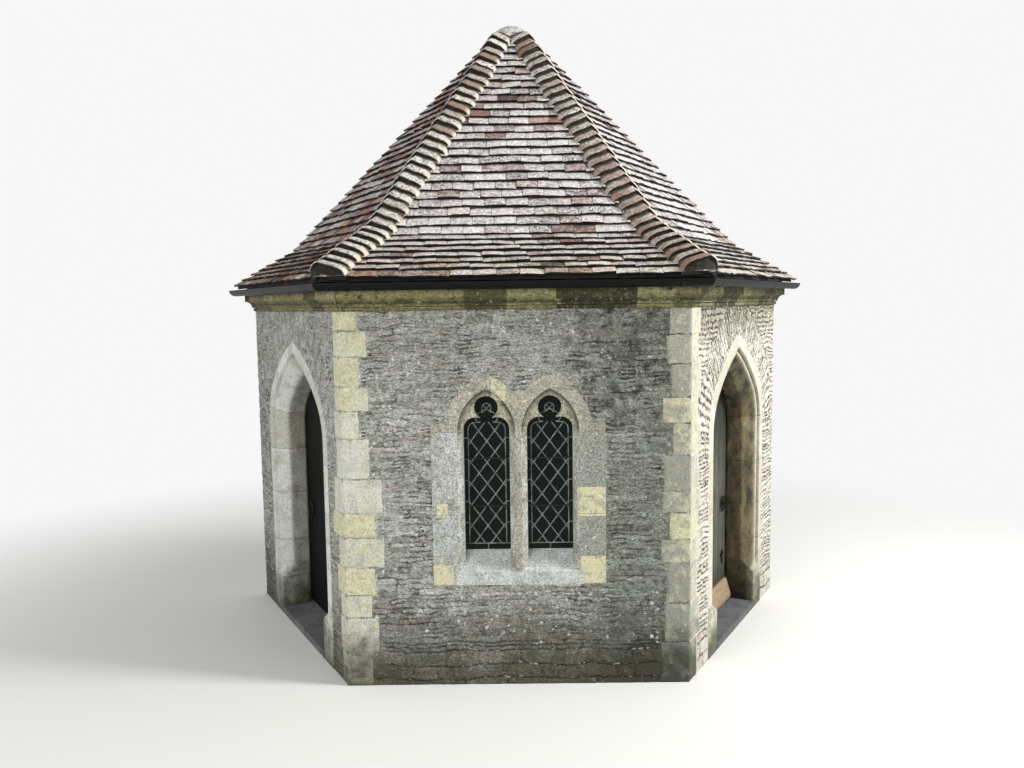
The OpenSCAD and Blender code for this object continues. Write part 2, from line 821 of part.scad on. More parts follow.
module hip_strip(s, w) {
    translate([0, back_y]) rotate(s * hip_turn) translate([-w / 2, -far]) square([w, far]);
}

module wall_rafter_plan() {
    translate([-far / 2, back_y - rafter_w]) square([far, rafter_w]);
}

module rafters() {
    color("#6b543d") below_cap() {
        intersection() {
            slope_sheet(0) rafter_section(depth);
            linear_extrude(far) difference() {
                intersection() {
                    front_wedge();
                    union() for (i = [-3 : 3])
                        translate([i * rafter_gap - rafter_w / 2, -far / 2]) square([rafter_w, far]);
                }
                hip_strip(LEFT, hip_w);
                hip_strip(RIGHT, hip_w);
                post_plan();
            }
        }
        for (s = [LEFT, RIGHT]) intersection() {
            slope_sheet(s * splay) rafter_section(side_run);
            linear_extrude(far) difference() {
                intersection() {
                    side_wedge(s);
                    union() for (i = [-3 : 3])
                        translate([0, back_y]) rotate(s * splay)
                            translate([i * rafter_gap - rafter_w / 2, -far]) square([rafter_w, far]);
                }
                hip_strip(s, hip_w);
                wall_rafter_plan();
                post_plan();
            }
        }
    }
}

module wall_rafters() {
    color("#6b543d") below_cap() for (s = [LEFT, RIGHT]) intersection() {
        slope_sheet(s * splay) rafter_section(side_run);
        linear_extrude(far) difference() {
            intersection() {
                side_wedge(s);
                wall_rafter_plan();
            }
            post_plan();
        }
    }
}

// Hip rafters stand lower than the rafters, so that the battens of both slopes clear their edges
hip_drop = 30;
module hip_rafters() {
    low = apex_z - cover_t - hip_drop - hip_deep;
    plate_edge = hip_run - plate_in / cos(splay / 2) + bed;
    on_plate = plate_top + bed;
    seat = (low - on_plate) / tan(pitch) * hip_run / depth;
    color("#5f4a35") before_back() for (s = [LEFT, RIGHT]) difference() {
        on_slope(s * hip_turn) translate([-hip_w / 2, 0, 0]) rotate([90, 0, 90]) linear_extrude(hip_w)
            mirror([1, 0]) polygon([[0, low], [0, apex_z - cover_t - hip_drop],
                kick_at(hip_run) - [0, cover_t + hip_drop], [hip_run, wall_top + 40], [hip_run, wall_top],
                [plate_edge, wall_top], [plate_edge, on_plate], [seat, on_plate]]);
        linear_extrude(far) post_plan();
    }
}

module wall_plates() {
    color("#5f4a35") translate([0, 0, wall_top]) linear_extrude(plate_h) difference() {
        inset_plan(plate_in);
        inset_plan(plate_in + plate_w);
    }
}

// The post ends where its front edge meets the underside of the tiles
post_l = 700;
module apex_post() {
    top = apex_z - cover_t - tan(pitch) * post_w - bed;
    color("#5f4a35") translate([0, 0, top - post_l]) linear_extrude(post_l) post_plan();
}

// Door leaf: boards with an arched head, and three ledges across the back
leaf_in = jamb_d + door_gap;
ledge_end = 90;
function leaf_half(s) = clear_half(s) + leaf_lap;
leaf_low = max(floor_h, sill_h) + foot_gap;

module leaf(s) {
    on_side(s) {
        arch_solid(s, leaf_lap - chamfer, leaf_low, leaf_in, leaf_in + leaf_t);
        for (z = [0.12, 0.5, 0.86])
            translate([door_at(s) - leaf_half(s) + ledge_end, leaf_in + leaf_t, z * door_spring])
                cube([2 * (leaf_half(s) - ledge_end), ledge_t, ledge_h]);
    }
}

module left_door() { color("#1d1d1c") leaf(LEFT); }
module right_door() { color("#8c8d88") leaf(RIGHT); }

// Ring handle with its round plate, on the outer face near the edge away from the hinges
handle_z = 960;
handle_in = 115;
module ring_handle(s) {
    plate_t = 6;
    translate([door_at(s) + leaf_half(s) - handle_in - leaf_lap, leaf_in, handle_z]) rotate([90, 0, 0]) {
        cylinder(d = ring_d * 0.62, h = plate_t);
        translate([0, 0, plate_t]) cylinder(d = ring_bar * 1.6, h = ring_bar);
        translate([0, 0, plate_t + ring_bar * 0.55]) rotate_extrude()
            translate([(ring_d - ring_bar) / 2, 0]) circle(d = ring_bar, $fn = 24);
        translate([-ring_bar / 2, 0, plate_t]) cube([ring_bar, (ring_d - ring_bar) / 2, ring_bar * 0.6]);
    }
}

// Strap hinges on the back, each ending in an eye round the hinge pin
strap_t = 6;
strap_w = 42;
pin_r = 8;
pin_side = 10;
function pin_x(s) = door_at(s) - leaf_half(s) - pin_side;
function pin_y() = leaf_in + leaf_t + strap_t + pin_r;

module straps(s) {
    for (z = [0.25, 0.74]) translate([0, 0, z * door_spring]) {
        translate([pin_x(s), pin_y() - pin_r - strap_t, 0]) cube([strap_l, strap_t, strap_w]);
        translate([pin_x(s), pin_y(), 0]) difference() {
            cylinder(r = pin_r + strap_t, h = strap_w);
            translate([0, 0, -1]) cylinder(r = pin_r, h = strap_w + 2);
        }
    }
}

// Hooks let into the splayed sides of the recess, on whose pins the straps' eyes turn
hook_h = 16;
hook_gap = 0.5;
module hooks(s) {
    on_side(s) for (z = [0.25, 0.74]) translate([0, 0, z * door_spring - hook_h - hook_gap]) {
        intersection() {
            translate([pin_x(s) - 200, pin_y() - pin_r, 0]) cube([200, 2 * pin_r, hook_h]);
            rear_recess(s);
        }
        translate([pin_x(s), pin_y(), 0]) cylinder(r = pin_r, h = hook_h);
        translate([pin_x(s), pin_y(), 0]) cylinder(r = pin_r - hook_gap, h = hook_h + strap_w);
    }
}

module hinge_hooks() {
    color("#17181a") {
        hooks(LEFT);
        hooks(RIGHT);
    }
}

module left_ironwork() {
    color("#17181a") on_side(LEFT) {
        ring_handle(LEFT);
        straps(LEFT);
    }
}

// The right door also has a cross-shaped catch low on its outer face
catch_z = 470;
module right_ironwork() {
    color("#17181a") on_side(RIGHT) {
        ring_handle(RIGHT);
        straps(RIGHT);
        translate([door_at(RIGHT) + leaf_half(RIGHT) - handle_in - leaf_lap, leaf_in, catch_z]) rotate([90, 0, 0]) {
            translate([-11, -60, 0]) cube([22, 120, 8]);
            translate([-45, 8, 0]) cube([90, 24, 8]);
        }
    }
}

// Sloping board that throws rain off the foot of the right door
module weatherboard() {
    half = clear_half(RIGHT) - weather_gap;
    color("#a88a68") on_side(RIGHT) translate([door_at(RIGHT) - half, leaf_in, leaf_low])
        rotate([90, 0, 90]) linear_extrude(2 * half) polygon([[0, 0], [0, weather_h], [-18, weather_h],
            [-weather_out, 30], [-weather_out, 0]]);
}

floor();
left_threshold();
right_threshold();
front_wall_foot();
front_wall_left();
front_wall_right();
front_wall_top();
left_wall_front();
left_wall_back();
left_wall_top();
right_wall_front();
right_wall_back();
right_wall_top();
left_quoins();
right_quoins();
left_front_jamb();
left_back_jamb();
left_arch();
right_front_jamb();
right_back_jamb();
right_arch();
window_sill();
window_jambs();
window_mullion();
window_head();
window_glass();
front_cornice();
left_cornice();
right_cornice();
front_gutter();
left_gutter();
right_gutter();
wall_plates();
hip_rafters();
wall_rafters();
rafters();
apex_post();
front_tiles();
left_tiles();
right_tiles();
hip_tiles();
apex_cap();
hinge_hooks();
left_door();
left_ironwork();
right_door();
right_ironwork();
weatherboard();
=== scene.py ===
import math

import bpy
import numpy as np
from mathutils import Matrix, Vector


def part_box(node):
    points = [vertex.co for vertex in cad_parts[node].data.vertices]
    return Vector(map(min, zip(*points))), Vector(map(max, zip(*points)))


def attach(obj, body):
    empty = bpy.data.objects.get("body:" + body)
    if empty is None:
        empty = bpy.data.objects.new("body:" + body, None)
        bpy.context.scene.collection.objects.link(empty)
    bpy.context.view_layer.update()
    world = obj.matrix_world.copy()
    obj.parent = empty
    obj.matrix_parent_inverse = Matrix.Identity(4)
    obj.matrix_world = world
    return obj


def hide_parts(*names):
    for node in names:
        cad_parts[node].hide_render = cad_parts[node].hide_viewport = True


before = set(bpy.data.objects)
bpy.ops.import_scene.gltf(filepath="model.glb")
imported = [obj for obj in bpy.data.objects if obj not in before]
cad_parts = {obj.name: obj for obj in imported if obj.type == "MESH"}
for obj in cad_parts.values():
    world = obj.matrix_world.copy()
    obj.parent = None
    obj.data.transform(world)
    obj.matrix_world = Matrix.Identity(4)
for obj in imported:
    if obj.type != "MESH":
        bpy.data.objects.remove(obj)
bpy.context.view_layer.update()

# Coursed rubble of the walls
# Thin ragstone, a hand's length or two long, laid in rough courses in lime mortar. Over the doorways the
# stones stand on edge and fan out round the arch. Weather has eaten back the mortar and pitted the faces,
# and crusts of grey, white and nearly black lichen speckle them.
LEFT, FRONT, RIGHT = -1, 0, 1
FRONT_W, SIDE_W, WALL_H = 2.5, 2.4, 2.739
SIN_60 = 0.8660254

# The CAD's walls are the mortar bed, 12 mm behind the stones' faces
BED_IN = 0.012
FRONT_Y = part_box("front_wall_foot")[0].y - BED_IN
BACK_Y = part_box("floor")[1].y


def linear(colour):
    """sRGB hex to linear light: c / 12.92 up to 0.04045, else ((c + 0.055) / 1.055) to the power 2.4."""
    parts = np.array([int(colour[i:i + 2], 16) for i in (1, 3, 5)]) / 255
    return (*np.where(parts <= 0.04045, parts / 12.92, ((parts + 0.055) / 1.055) ** 2.4), 1.0)


def add(tree, kind, **settings):
    """Adds one node and returns it. A setting is one of its properties, stops (a ramp's colours at even
    steps) or a socket, by its name with _ for each space or by _ and its number. A socket takes a value, an
    sRGB hex colour, one of another node's outputs, or that node, whose first output in use is linked."""
    node = tree.nodes.new("ShaderNode" + kind)
    for key, value in settings.items():
        if key == "stops":
            ramp = node.color_ramp.elements
            while len(ramp) < len(value):
                ramp.new(0.5)
            for i, (stop, colour) in enumerate(zip(ramp, value)):
                stop.position, stop.color = i / (len(value) - 1), linear(colour)
            continue
        if hasattr(node, key):
            setattr(node, key, value)
            continue
        if key[1:].isdigit():
            socket = node.inputs[int(key[1:])]
        else:
            socket = next(s for s in node.inputs if s.enabled and s.name.replace(" ", "_") == key)
        if isinstance(value, bpy.types.Node):
            value = next(s for s in value.outputs if s.enabled)
        if isinstance(value, bpy.types.NodeSocket):
            tree.links.new(value, socket)
        else:
            socket.default_value = linear(value) if isinstance(value, str) else value
    return node


def material(name):
    """A new material, its emptied node tree, and the place on the object in metres."""
    mat = bpy.data.materials.new(name)
    mat.use_nodes = True
    mat.node_tree.nodes.clear()
    return mat, mat.node_tree, add(mat.node_tree, "TexCoord").outputs["Object"]


def patches(tree, where, size, low, high, detail=5, rough_by=0.6):
    """Blotches of a size in metres: noise stretched so that it is 0 below low and 1 above high."""
    spots = add(tree, "TexNoise", Vector=where, Scale=1 / size, Detail=detail, Roughness=rough_by)
    return add(tree, "MapRange", Value=spots, From_Min=low, From_Max=high)


def product(tree, share, *others):
    """The product of several shares."""
    for other in others:
        share = add(tree, "Math", operation="MULTIPLY", _0=share, _1=other)
    return share


def coats(tree, colour, *layers):
    """Colours laid one over another from the first one up. A layer is a colour, the share of it from 0 to
    1 and, where it darkens what lies below instead of covering it, MULTIPLY."""
    for above, share, *mode in layers:
        blend = mode[0] if mode else "MIX"
        colour = add(tree, "Mix", data_type="RGBA", blend_type=blend, A=colour, B=above, Factor=share)
    return colour


def finish(tree, colour, relief, strength, depth, **settings):
    """Ends a material in one Principled shader with its colour, its settings, and a bump from the pattern
    called relief, with its strength and its depth in metres."""
    bump = add(tree, "Bump", Height=relief, Strength=strength, Distance=depth)
    shader = add(tree, "BsdfPrincipled", Base_Color=colour, Normal=bump, **settings)
    add(tree, "OutputMaterial", Surface=shader)


def grid_faces(rows, columns, turned=False):
    """The four-sided faces of a grid of points that are numbered row by row, turned to face the other way
    where asked."""
    k = np.arange(rows * columns).reshape(rows, columns)
    quads = np.stack([k[:-1, :-1], k[1:, :-1], k[1:, 1:], k[:-1, 1:]], -1).reshape(-1, 4)
    return quads[:, ::-1] if turned else quads


def surface(name, points, quads, mat, body="porch", smooth=True, normals=None, **values):
    """A mesh from an array of points and one of four-sided faces, without the points that no face uses. It
    carries one attribute for each set of values given, and normals where a larger surface is split."""
    mesh = bpy.data.meshes.new(name)
    points = np.asarray(points, np.float32).reshape(-1, 3)
    keep, corners = np.unique(quads, return_inverse=True)
    mesh.vertices.add(len(keep))
    mesh.vertices.foreach_set("co", points[keep].ravel())
    mesh.loops.add(quads.size)
    mesh.loops.foreach_set("vertex_index", corners.ravel().astype(np.int32))
    mesh.polygons.add(len(quads))
    mesh.polygons.foreach_set("loop_start", np.arange(0, quads.size, 4, dtype=np.int32))
    mesh.polygons.foreach_set("use_smooth", np.full(len(quads), smooth))
    for key, value in values.items():
        value = np.asarray(value, np.float32).ravel()[keep]
        mesh.attributes.new(key, "FLOAT", "POINT").data.foreach_set("value", value)
    mesh.update(calc_edges=True)
    if normals is not None:
        mesh.normals_split_custom_set_from_vertices(normals.reshape(-1, 3)[keep])
    mesh.materials.append(mat)
    obj = bpy.data.objects.new(name, mesh)
    bpy.context.scene.collection.objects.link(obj)
    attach(obj, body)
    return obj


def noise(first, second, size, seed):
    """Smooth noise from -1 to 1 over two coordinates: random values on a square lattice of the given size,
    blended between its points by the curve 3t^2 - 2t^3."""
    values = np.random.default_rng(seed).uniform(-1, 1, (257, 257))
    a, b = np.asarray(first) / size + 64.5, np.asarray(second) / size + 64.5
    i, j = np.floor(a).astype(int), np.floor(b).astype(int)
    u, v = a - i, b - j
    u, v = u * u * (3 - 2 * u), v * v * (3 - 2 * v)
    i, j = i % 256, j % 256
    return ((values[i, j] * (1 - u) + values[i + 1, j] * u) * (1 - v)
            + (values[i, j + 1] * (1 - u) + values[i + 1, j + 1] * u) * v)


def rough(first, second, size, seed):
    """Four sheets of noise, each of half the size and half the height of the one before."""
    return sum(noise(first, second, size / 2 ** k, seed + k) / 2 ** k for k in range(4)) / 1.9


def wall_point(wall, along, inward, up):
    """A place in a wall's own frame, put into the shared frame. On the front wall, along runs from its left
    corner to the right. On a side wall it runs back from the front corner, 60 degrees off the front."""
    if wall == FRONT:
        x, y = along - FRONT_W / 2, FRONT_Y + inward
    else:
        x = wall * (FRONT_W / 2 + along * 0.5 - inward * SIN_60)
        y = FRONT_Y + along * SIN_60 + inward * 0.5
    return np.stack(np.broadcast_arrays(x, y, up), -1)


# The doorways' arches, as they follow the CAD: middle along the wall, half width outside the moulding, and
# how far the upper arc's centre lies from the haunch's, in steps of 20 across and 21 down
DOOR_MIDDLE = {LEFT: 1.170, RIGHT: 1.222}
DOOR_HALF = {LEFT: 0.70, RIGHT: 0.65}
ARCH_STEP = {LEFT: 0.042, RIGHT: 0.050}
DOOR_SPRING, HAUNCH = 1.74, 0.36

# The stones on edge reach this far out from the arris, from this height up
FAN_W, FAN_LOW = 0.46, 1.42

# Least and most height of a course, to be widened by its joint, and least and most length of a stone, to
# be varied from course to course: stones laid flat, then stones on edge
FLAT_H, FLAT_LONG = (0.022, 0.048), (0.07, 0.30)
EDGE_H, EDGE_LONG = (0.016, 0.036), (0.08, 0.19)


def arch_shape(wall):
    """The four-centred arch of a doorway: the angle where haunch and upper arc meet, whose tangent is 21/20,
    the haunch's centre, and the upper arc's centre and radius, 29 steps longer than the haunch's."""
    step = ARCH_STEP[wall]
    centre = DOOR_HALF[wall] - HAUNCH
    return math.atan2(21, 20), centre, centre - step * 20, -step * 21, HAUNCH + step * 29


def arch_reach(along, up, wall):
    """How far a place lies outside the doorway's outer arris, and how far round the arris it is from the
    springing: below it straight up, above it on the haunch or on the upper arc."""
    x, y = np.abs(along - DOOR_MIDDLE[wall]), up - DOOR_SPRING
    turn, centre, upper_x, upper_y, radius = arch_shape(wall)
    angle = np.arctan2(y, np.maximum(x - centre, 1e-6))
    on_haunch = (x > centre) & (angle < turn)
    outside = np.where(on_haunch, np.hypot(x - centre, y) - HAUNCH,
                       np.hypot(x - upper_x, y - upper_y) - radius)
    upper_turn = np.arctan2(y - upper_y, x - upper_x) - turn
    round_it = np.where(on_haunch, HAUNCH * angle, HAUNCH * turn + radius * upper_turn)
    return np.where(y < 0, x - DOOR_HALF[wall], outside), np.where(y < 0, y, round_it)


def laid_stones(along, up, rng, low, high, length_range):
    """Lays stones in courses of random height and random lengths. For each point it gives the distance in
    from its stone's edge, its place across and up the stone from -1 to 1, and the stone's random number.
    The distance rounds the corners: the less of end and bed, less a little where the two are alike. The
    lowest courses are higher and their stones 1.7 times as long."""
    courses, most_in_one = 320, 90
    beds = np.concatenate([[0], np.cumsum(rng.uniform(low, high, courses))])
    beds = up.min() - 0.02 + beds + 1.8 * np.minimum(beds, 0.11)
    course = np.clip(np.searchsorted(beds, up) - 1, 0, courses - 1)
    from_low, from_high = up - beds[course], beds[course + 1] - up
    lengths = rng.uniform(*length_range, (courses, most_in_one)) * rng.uniform(0.6, 1.5, (courses, 1))
    lengths = lengths * np.where(beds[:-1, None] < up.min() + 0.26, 1.7, 1)
    ends = along.min() - 0.5 + np.cumsum(lengths, 1)
    apart = np.arange(courses) * 1000.0
    ends = (ends + apart[:, None]).ravel()
    here = along + apart[course]
    place = np.clip(np.searchsorted(ends, here.ravel()), 1, ends.size - 1).reshape(along.shape)
    from_left, from_right = here - ends[place - 1], ends[place] - here
    end, bed = 1.6 * np.minimum(from_left, from_right) + 0.001, np.minimum(from_low, from_high)
    inwards = np.minimum(end, bed) - 0.004 * np.exp(-np.abs(end - bed) / 0.006)
    across = (from_left - from_right) / (from_left + from_right)
    upwards = (from_low - from_high) / (from_low + from_high)
    return inwards, across, upwards, rng.uniform(0, 1, ends.size)[place]


def rubble(name, wall, width, seed, pits, gaping, gap, mat, kept):
    """A wall's face as a grid of heights over its bed of mortar. Noise shifts each point before it is laid,
    so that outlines are ragged. A stone rises from its joint over 6 mm, tilts, stands more or less proud
    and is rough. pits is how deep the weathering goes, gaping how much of the joints stands open, the rest
    being pointed flush, and gap half a joint's width. kept says how far each place is inside the rubble:
    mortar runs 12 mm on under the worn edges of dressed stone, then the grid dips into the wall and is
    left out."""
    step_along, step_up, most_faces = 0.0085, 0.0048, 190000
    rows, columns = int(width / step_along) + 1, int(WALL_H / step_up) + 1
    along, up = np.meshgrid(np.linspace(0, width, rows), np.linspace(0.001, WALL_H - 0.001, columns),
                            indexing="ij")
    rng = np.random.default_rng(seed)
    shift_along = (0.022 * noise(along, up, 0.16, seed) + 0.010 * noise(along, up, 0.040, seed + 1)
                   + 0.005 * noise(along, up, 0.018, seed + 6))
    shift_up = (0.018 * noise(along, up, 0.19, seed + 2) + 0.008 * noise(along, up, 0.050, seed + 3)
                + 0.003 * noise(along, up, 0.018, seed + 7))
    inwards, across, upwards, tone = laid_stones(
        along + shift_along, up + shift_up, rng, FLAT_H[0] + gap, FLAT_H[1] + gap, FLAT_LONG)
    if wall != FRONT:
        outside, round_it = arch_reach(along, up, wall)
        turned = np.where(along < DOOR_MIDDLE[wall], -0.2 - round_it, round_it)
        fan_in, *fan = laid_stones(
            outside + shift_along, turned + shift_up, rng, EDGE_H[0] + gap, EDGE_H[1] + 2 * gap, EDGE_LONG)
        inside = np.minimum(FAN_W - outside, (up - FAN_LOW) * 0.6) + 0.05 * rough(along, up, 0.09, seed + 4)
        fanned = inside > 0
        inwards = np.where(fanned, np.minimum(fan_in, inside + 0.002), np.minimum(inwards, -inside + 0.002))
        across, upwards, tone = (np.where(fanned, *pair) for pair in zip(fan, (across, upwards, tone)))
    gape = gaping + 0.7 * np.clip((0.34 - up) / 0.08, 0, 1)
    gape = gape + 0.7 * noise(along, up, 0.06, seed + 8) + 0.3 * noise(along, up, 0.35, seed + 9)
    rise = np.clip((inwards - gap) / 0.0060, 0, 1)
    rise = 1 - (1 - rise * rise * (3 - 2 * rise)) * np.clip(gape, 0, 1)
    proud = 0.0058 + 0.0046 * tone + 0.0040 * across * (tone - 0.5) + 0.0026 * upwards * (0.5 - tone)
    worn = np.clip(rough(along, up, 0.026, seed + 30) - 0.10, 0, 1)
    height = 0.0008 + rise * proud + (0.0012 + 0.0014 * rise) * rough(along, up, 0.034, seed + 20)
    height = height - pits * worn * 0.020
    inside = kept(along + 0.3 * shift_along, up + 0.3 * shift_up)
    edge = 0.0100 + 0.0012 * rough(along, up, 0.03, seed + 44)
    height = np.where(inside < 0.006, np.maximum(height, edge - np.maximum(inside, 0) * 0.8), height)
    height = np.clip(np.minimum(height, edge + 0.0010 + (inside + 0.012) * 0.8), -0.004, 0.0118)
    points = wall_point(wall, along, BED_IN - height, up)
    points[..., 1] = np.minimum(points[..., 1], BACK_Y)
    facing = -1 if wall == LEFT else 1
    normals = np.cross(np.gradient(points, axis=0), np.gradient(points, axis=1)) * facing
    quads = grid_faces(rows, columns, wall == LEFT)
    quads = quads[~(inside.ravel()[quads] < -0.026).all(1)]
    cuts = np.linspace(0, width + 1e-9, 2 * len(quads) // most_faces + 2)
    start = along.ravel()[quads].min(1)
    # Open joints and pits, which the ragstone paints dark: mortar and painted shade
    open_joint = (1 - rise) * (inside > 0.004) + 1.2 * pits * worn * (worn > 0.08)
    for i, (low, high) in enumerate(zip(cuts[:-1], cuts[1:])):
        part = quads[(start >= low) & (start < high)]
        obj = surface(f"{name}_{i + 1}", points, part, mat, normals=normals, tone=tone,
                      joint=np.clip(open_joint, 0, 1))


def ragstone(name, tones, joint_and_shade_colour, crust, crust_share, speck_share, dim, wet, grainy):
    """Ragstone as split: dull and dry, each stone of its own grey or buff, its grain in dark
    and pale flecks of 3 to 12 mm. Damp browns it low down (wet), a painted shadow and a dark growth lie
    over its right half (dim), and a wall without them (1 - dim) has the eaves' painted shadow under the
    cornice. Its open joints and pits are dark with mortar and painted shade. Pale crusts, small pale
    flecks and rosettes of lichen 40 mm apart cover it, and dark specks are drawn out along the beds."""
    mat, tree, here = material(name)
    tone, joint = [add(tree, "Attribute", attribute_name=name).outputs["Fac"] for name in ("tone", "joint")]
    xyz = add(tree, "SeparateXYZ", Vector=here).outputs
    flat = add(tree, "Mapping", Vector=here, Scale=(1, 1, 2.2))
    uneven = add(tree, "TexNoise", Vector=here, Scale=2.5, Detail=6, Roughness=0.65)
    level = add(tree, "Math", operation="SUBTRACT", _0=xyz["Z"], _1=uneven)
    sideways = add(tree, "Math", operation="MULTIPLY_ADD", _0=uneven, _1=-0.9, _2=xyz["X"])
    damp = add(tree, "MapRange", Value=level, From_Min=0.25, From_Max=-0.38, To_Max=wet)
    dry = add(tree, "MapRange", Value=level, From_Min=-0.25, From_Max=0.20, To_Min=0.2)
    shaded = add(tree, "MapRange", Value=sideways, From_Min=-0.10, From_Max=0.25, To_Max=dim)
    shaded_part = add(tree, "MapRange", Value=xyz["Z"], From_Min=2.40, From_Max=2.72, To_Max=1 - dim)
    growth = product(
        tree, patches(tree, add(tree, "Mapping", Vector=here, Scale=(1, 1, 1.6)), 0.13, 0.47, 0.60, 8, 0.8),
        add(tree, "MapRange", Value=sideways, From_Min=-0.25, From_Max=0.05, To_Max=dim),
        add(tree, "MapRange", Value=level, From_Min=1.25, From_Max=1.55))
    grain = add(tree, "TexNoise", Vector=flat, Scale=1 / 0.018, Detail=8, Roughness=0.85, Distortion=0.3)
    fine = add(tree, "MapRange", Value=grain, From_Min=0.38, From_Max=0.60)
    fine = add(tree, "ValToRGB", Fac=fine, stops=("#3a3a34", "#9a9a95", "#e4e4e2", "#ffffff"))
    specks = patches(tree, add(tree, "Mapping", Vector=here, Scale=(1, 1, 5)), 0.045, speck_share,
                     speck_share + 0.03, 8, 0.8)
    crusts = product(tree, patches(tree, here, 0.040, crust_share, crust_share + 0.05, 8, 0.8), dry)
    flecks = product(tree, patches(tree, here, 0.026, 0.635, 0.675, 8, 0.8),
                     patches(tree, here, 0.30, 0.60, 0.72, 3), dry)
    ragged = add(tree, "TexNoise", Vector=here, Scale=1 / 0.03, Detail=6, Roughness=0.75).outputs["Color"]
    ragged = add(tree, "VectorMath", operation="MULTIPLY_ADD", _0=ragged, _1=(0.05, 0.05, 0.05), _2=here)
    cell = add(tree, "TexVoronoi", Vector=ragged, Scale=1 / 0.040)
    chosen = add(tree, "SeparateColor", Color=cell.outputs["Color"])
    size = add(tree, "MapRange", Value=chosen, From_Min=0.4, From_Max=1.0, To_Max=0.42)
    rim = add(tree, "Math", operation="SUBTRACT", _0=cell, _1=size)
    rosettes = product(
        tree, add(tree, "MapRange", Value=rim, From_Min=0.0, From_Max=-0.08),
        add(tree, "Math", operation="COMPARE", _0=xyz["Z"], _1=0.50, _2=0.20),
        patches(tree, here, 0.38, 0.43, 0.52, 5, 0.7))
    colour = coats(
        tree, add(tree, "ValToRGB", Fac=tone, stops=tones),
        (tones[0], patches(tree, flat, 0.11, 0.44, 0.70, 6, 0.7)),
        ("#7f7b67", damp, "MULTIPLY"),
        # Open joints and pits: mortar, darkened with painted shade
        (joint_and_shade_colour, joint),
        (fine, grainy, "MULTIPLY"),
        # Painted shadow of the eaves under the cornice
        ("#a8a295", shaded_part, "MULTIPLY"),
        ("#7d7b70", growth, "MULTIPLY"),
        ("#2f2f2a", specks),
        (crust, crusts),
        # Painted shadow over the front wall's right half
        ("#c6cac5", shaded, "MULTIPLY"),
        ("#cfd2ca", flecks),
        ("#bfc4b8", rosettes))
    finish(tree, colour, grain, 0.8, 0.008, Roughness=0.93, IOR=1.5)
    return mat


# One ragstone in two copies: grey as painted shade (front, left walls), pale buff as painted sunlight
# (right)
rag_shade = ragstone("weathered_ragstone_grey", ("#aaa9a1", "#c8ccc8", "#d8dbd7", "#c4beb2", "#e6e8e4"),
                     "#3c3b34", "#dfe2dd", 0.58, 0.57, 1.0, 1.0, 1.0)
rag_sun = ragstone("weathered_ragstone_pale_buff", ("#d5cebf", "#e7e1d4", "#f2ede2", "#e4dccd", "#faf6ec"),
                   "#2c261d", "#fbf8f0", 0.57, 0.61, 0.0, 0.2, 0.45)

# The corner stones from the foot up, in millimetres: height, leg on the front wall, leg on the side wall
QUOINS = {
    LEFT: [(249, 197, 120), (256, 248, 140), (168, 204, 120), (205, 230, 180), (219, 303, 125),
           (175, 237, 240), (249, 296, 190), (292, 212, 120), (197, 142, 150), (175, 215, 120),
           (212, 153, 130), (183, 212, 120), (139, 150, 120)],
    RIGHT: [(300, 219, 170), (285, 190, 225), (292, 175, 165), (168, 219, 220), (197, 160, 170),
            (154, 212, 230), (256, 204, 180), (227, 139, 225), (183, 212, 160), (234, 153, 230),
            (205, 182, 170), (190, 168, 220)]}

# The window's middle and those of its two lights either side of it, and its heads: springing, centres of the
# arcs either side of a light's middle, and radius of a light's arc with the 92 mm of stone round it
WINDOW_X, LIGHT_X = 0.018, 0.229
WINDOW_SPRING, HEAD_SHIFT, HEAD_RADIUS = 1.866, 0.12677, 0.33677 + 0.092

# Width of the dressed stone round a doorway, out from its arris
RING = 0.140


def beyond_boxes(along, up, boxes):
    """Distance outside a union of upright rectangles (left, right, low, high), negative within."""
    best = np.full(along.shape, 9.0)
    for left, right, low, high in boxes:
        dx, dz = np.maximum(left - along, along - right), np.maximum(low - up, up - high)
        away = np.hypot(np.maximum(dx, 0), np.maximum(dz, 0)) + np.minimum(np.maximum(dx, dz), 0)
        best = np.minimum(best, away)
    return best


def quoin_levels(wall):
    """The heights of the corner stones' beds, stretched to the wall's height and rounded to 1 mm."""
    heights = [stone[0] for stone in QUOINS[wall]]
    return np.round(np.cumsum([0] + heights) * WALL_H * 1000 / sum(heights)) / 1000


def quoin_boxes(wall, leg, mirrored=False):
    """The corner stones' faces on one wall as rectangles, from past the corner to the leg's end."""
    z = quoin_levels(wall)
    return [(FRONT_W - stone[leg] / 1000, 9, low, high) if mirrored else (-9, stone[leg] / 1000, low, high)
            for stone, low, high in zip(QUOINS[wall], z[:-1], z[1:])]


def beyond_window(along, up):
    """Distance outside the window's dressed stones: a rectangle from under the sill to above the springing,
    two pointed heads and the valley between them."""
    half_wide, low, high, valley_low, valley_high = 0.624, 0.747, 1.926, 1.8, 2.159
    x = along - (FRONT_W / 2 + WINDOW_X)
    rise = up - WINDOW_SPRING
    rings = [np.maximum(np.maximum(np.hypot(x - c - HEAD_SHIFT, rise), np.hypot(x - c + HEAD_SHIFT, rise))
                        - HEAD_RADIUS, -rise) for c in (-LIGHT_X, LIGHT_X)]
    boxes = [(-half_wide, half_wide, low, high), (-LIGHT_X, LIGHT_X, valley_low, valley_high)]
    return np.minimum(np.minimum(*rings), beyond_boxes(x, up, boxes))


def front_kept(along, up):
    """How far a place on the front wall lies inside the rubble."""
    corners = np.minimum(beyond_boxes(along, up, quoin_boxes(LEFT, 1)),
                         beyond_boxes(along, up, quoin_boxes(RIGHT, 1, True)))
    return np.minimum(corners, beyond_window(along, up))


def side_kept(wall):
    """The same for a side wall, beside its corner stones and round its doorway's ring of dressed stone."""
    return lambda along, up: np.minimum(beyond_boxes(along, up, quoin_boxes(wall, 2)),
                                        arch_reach(along, up, wall)[0] - RING)


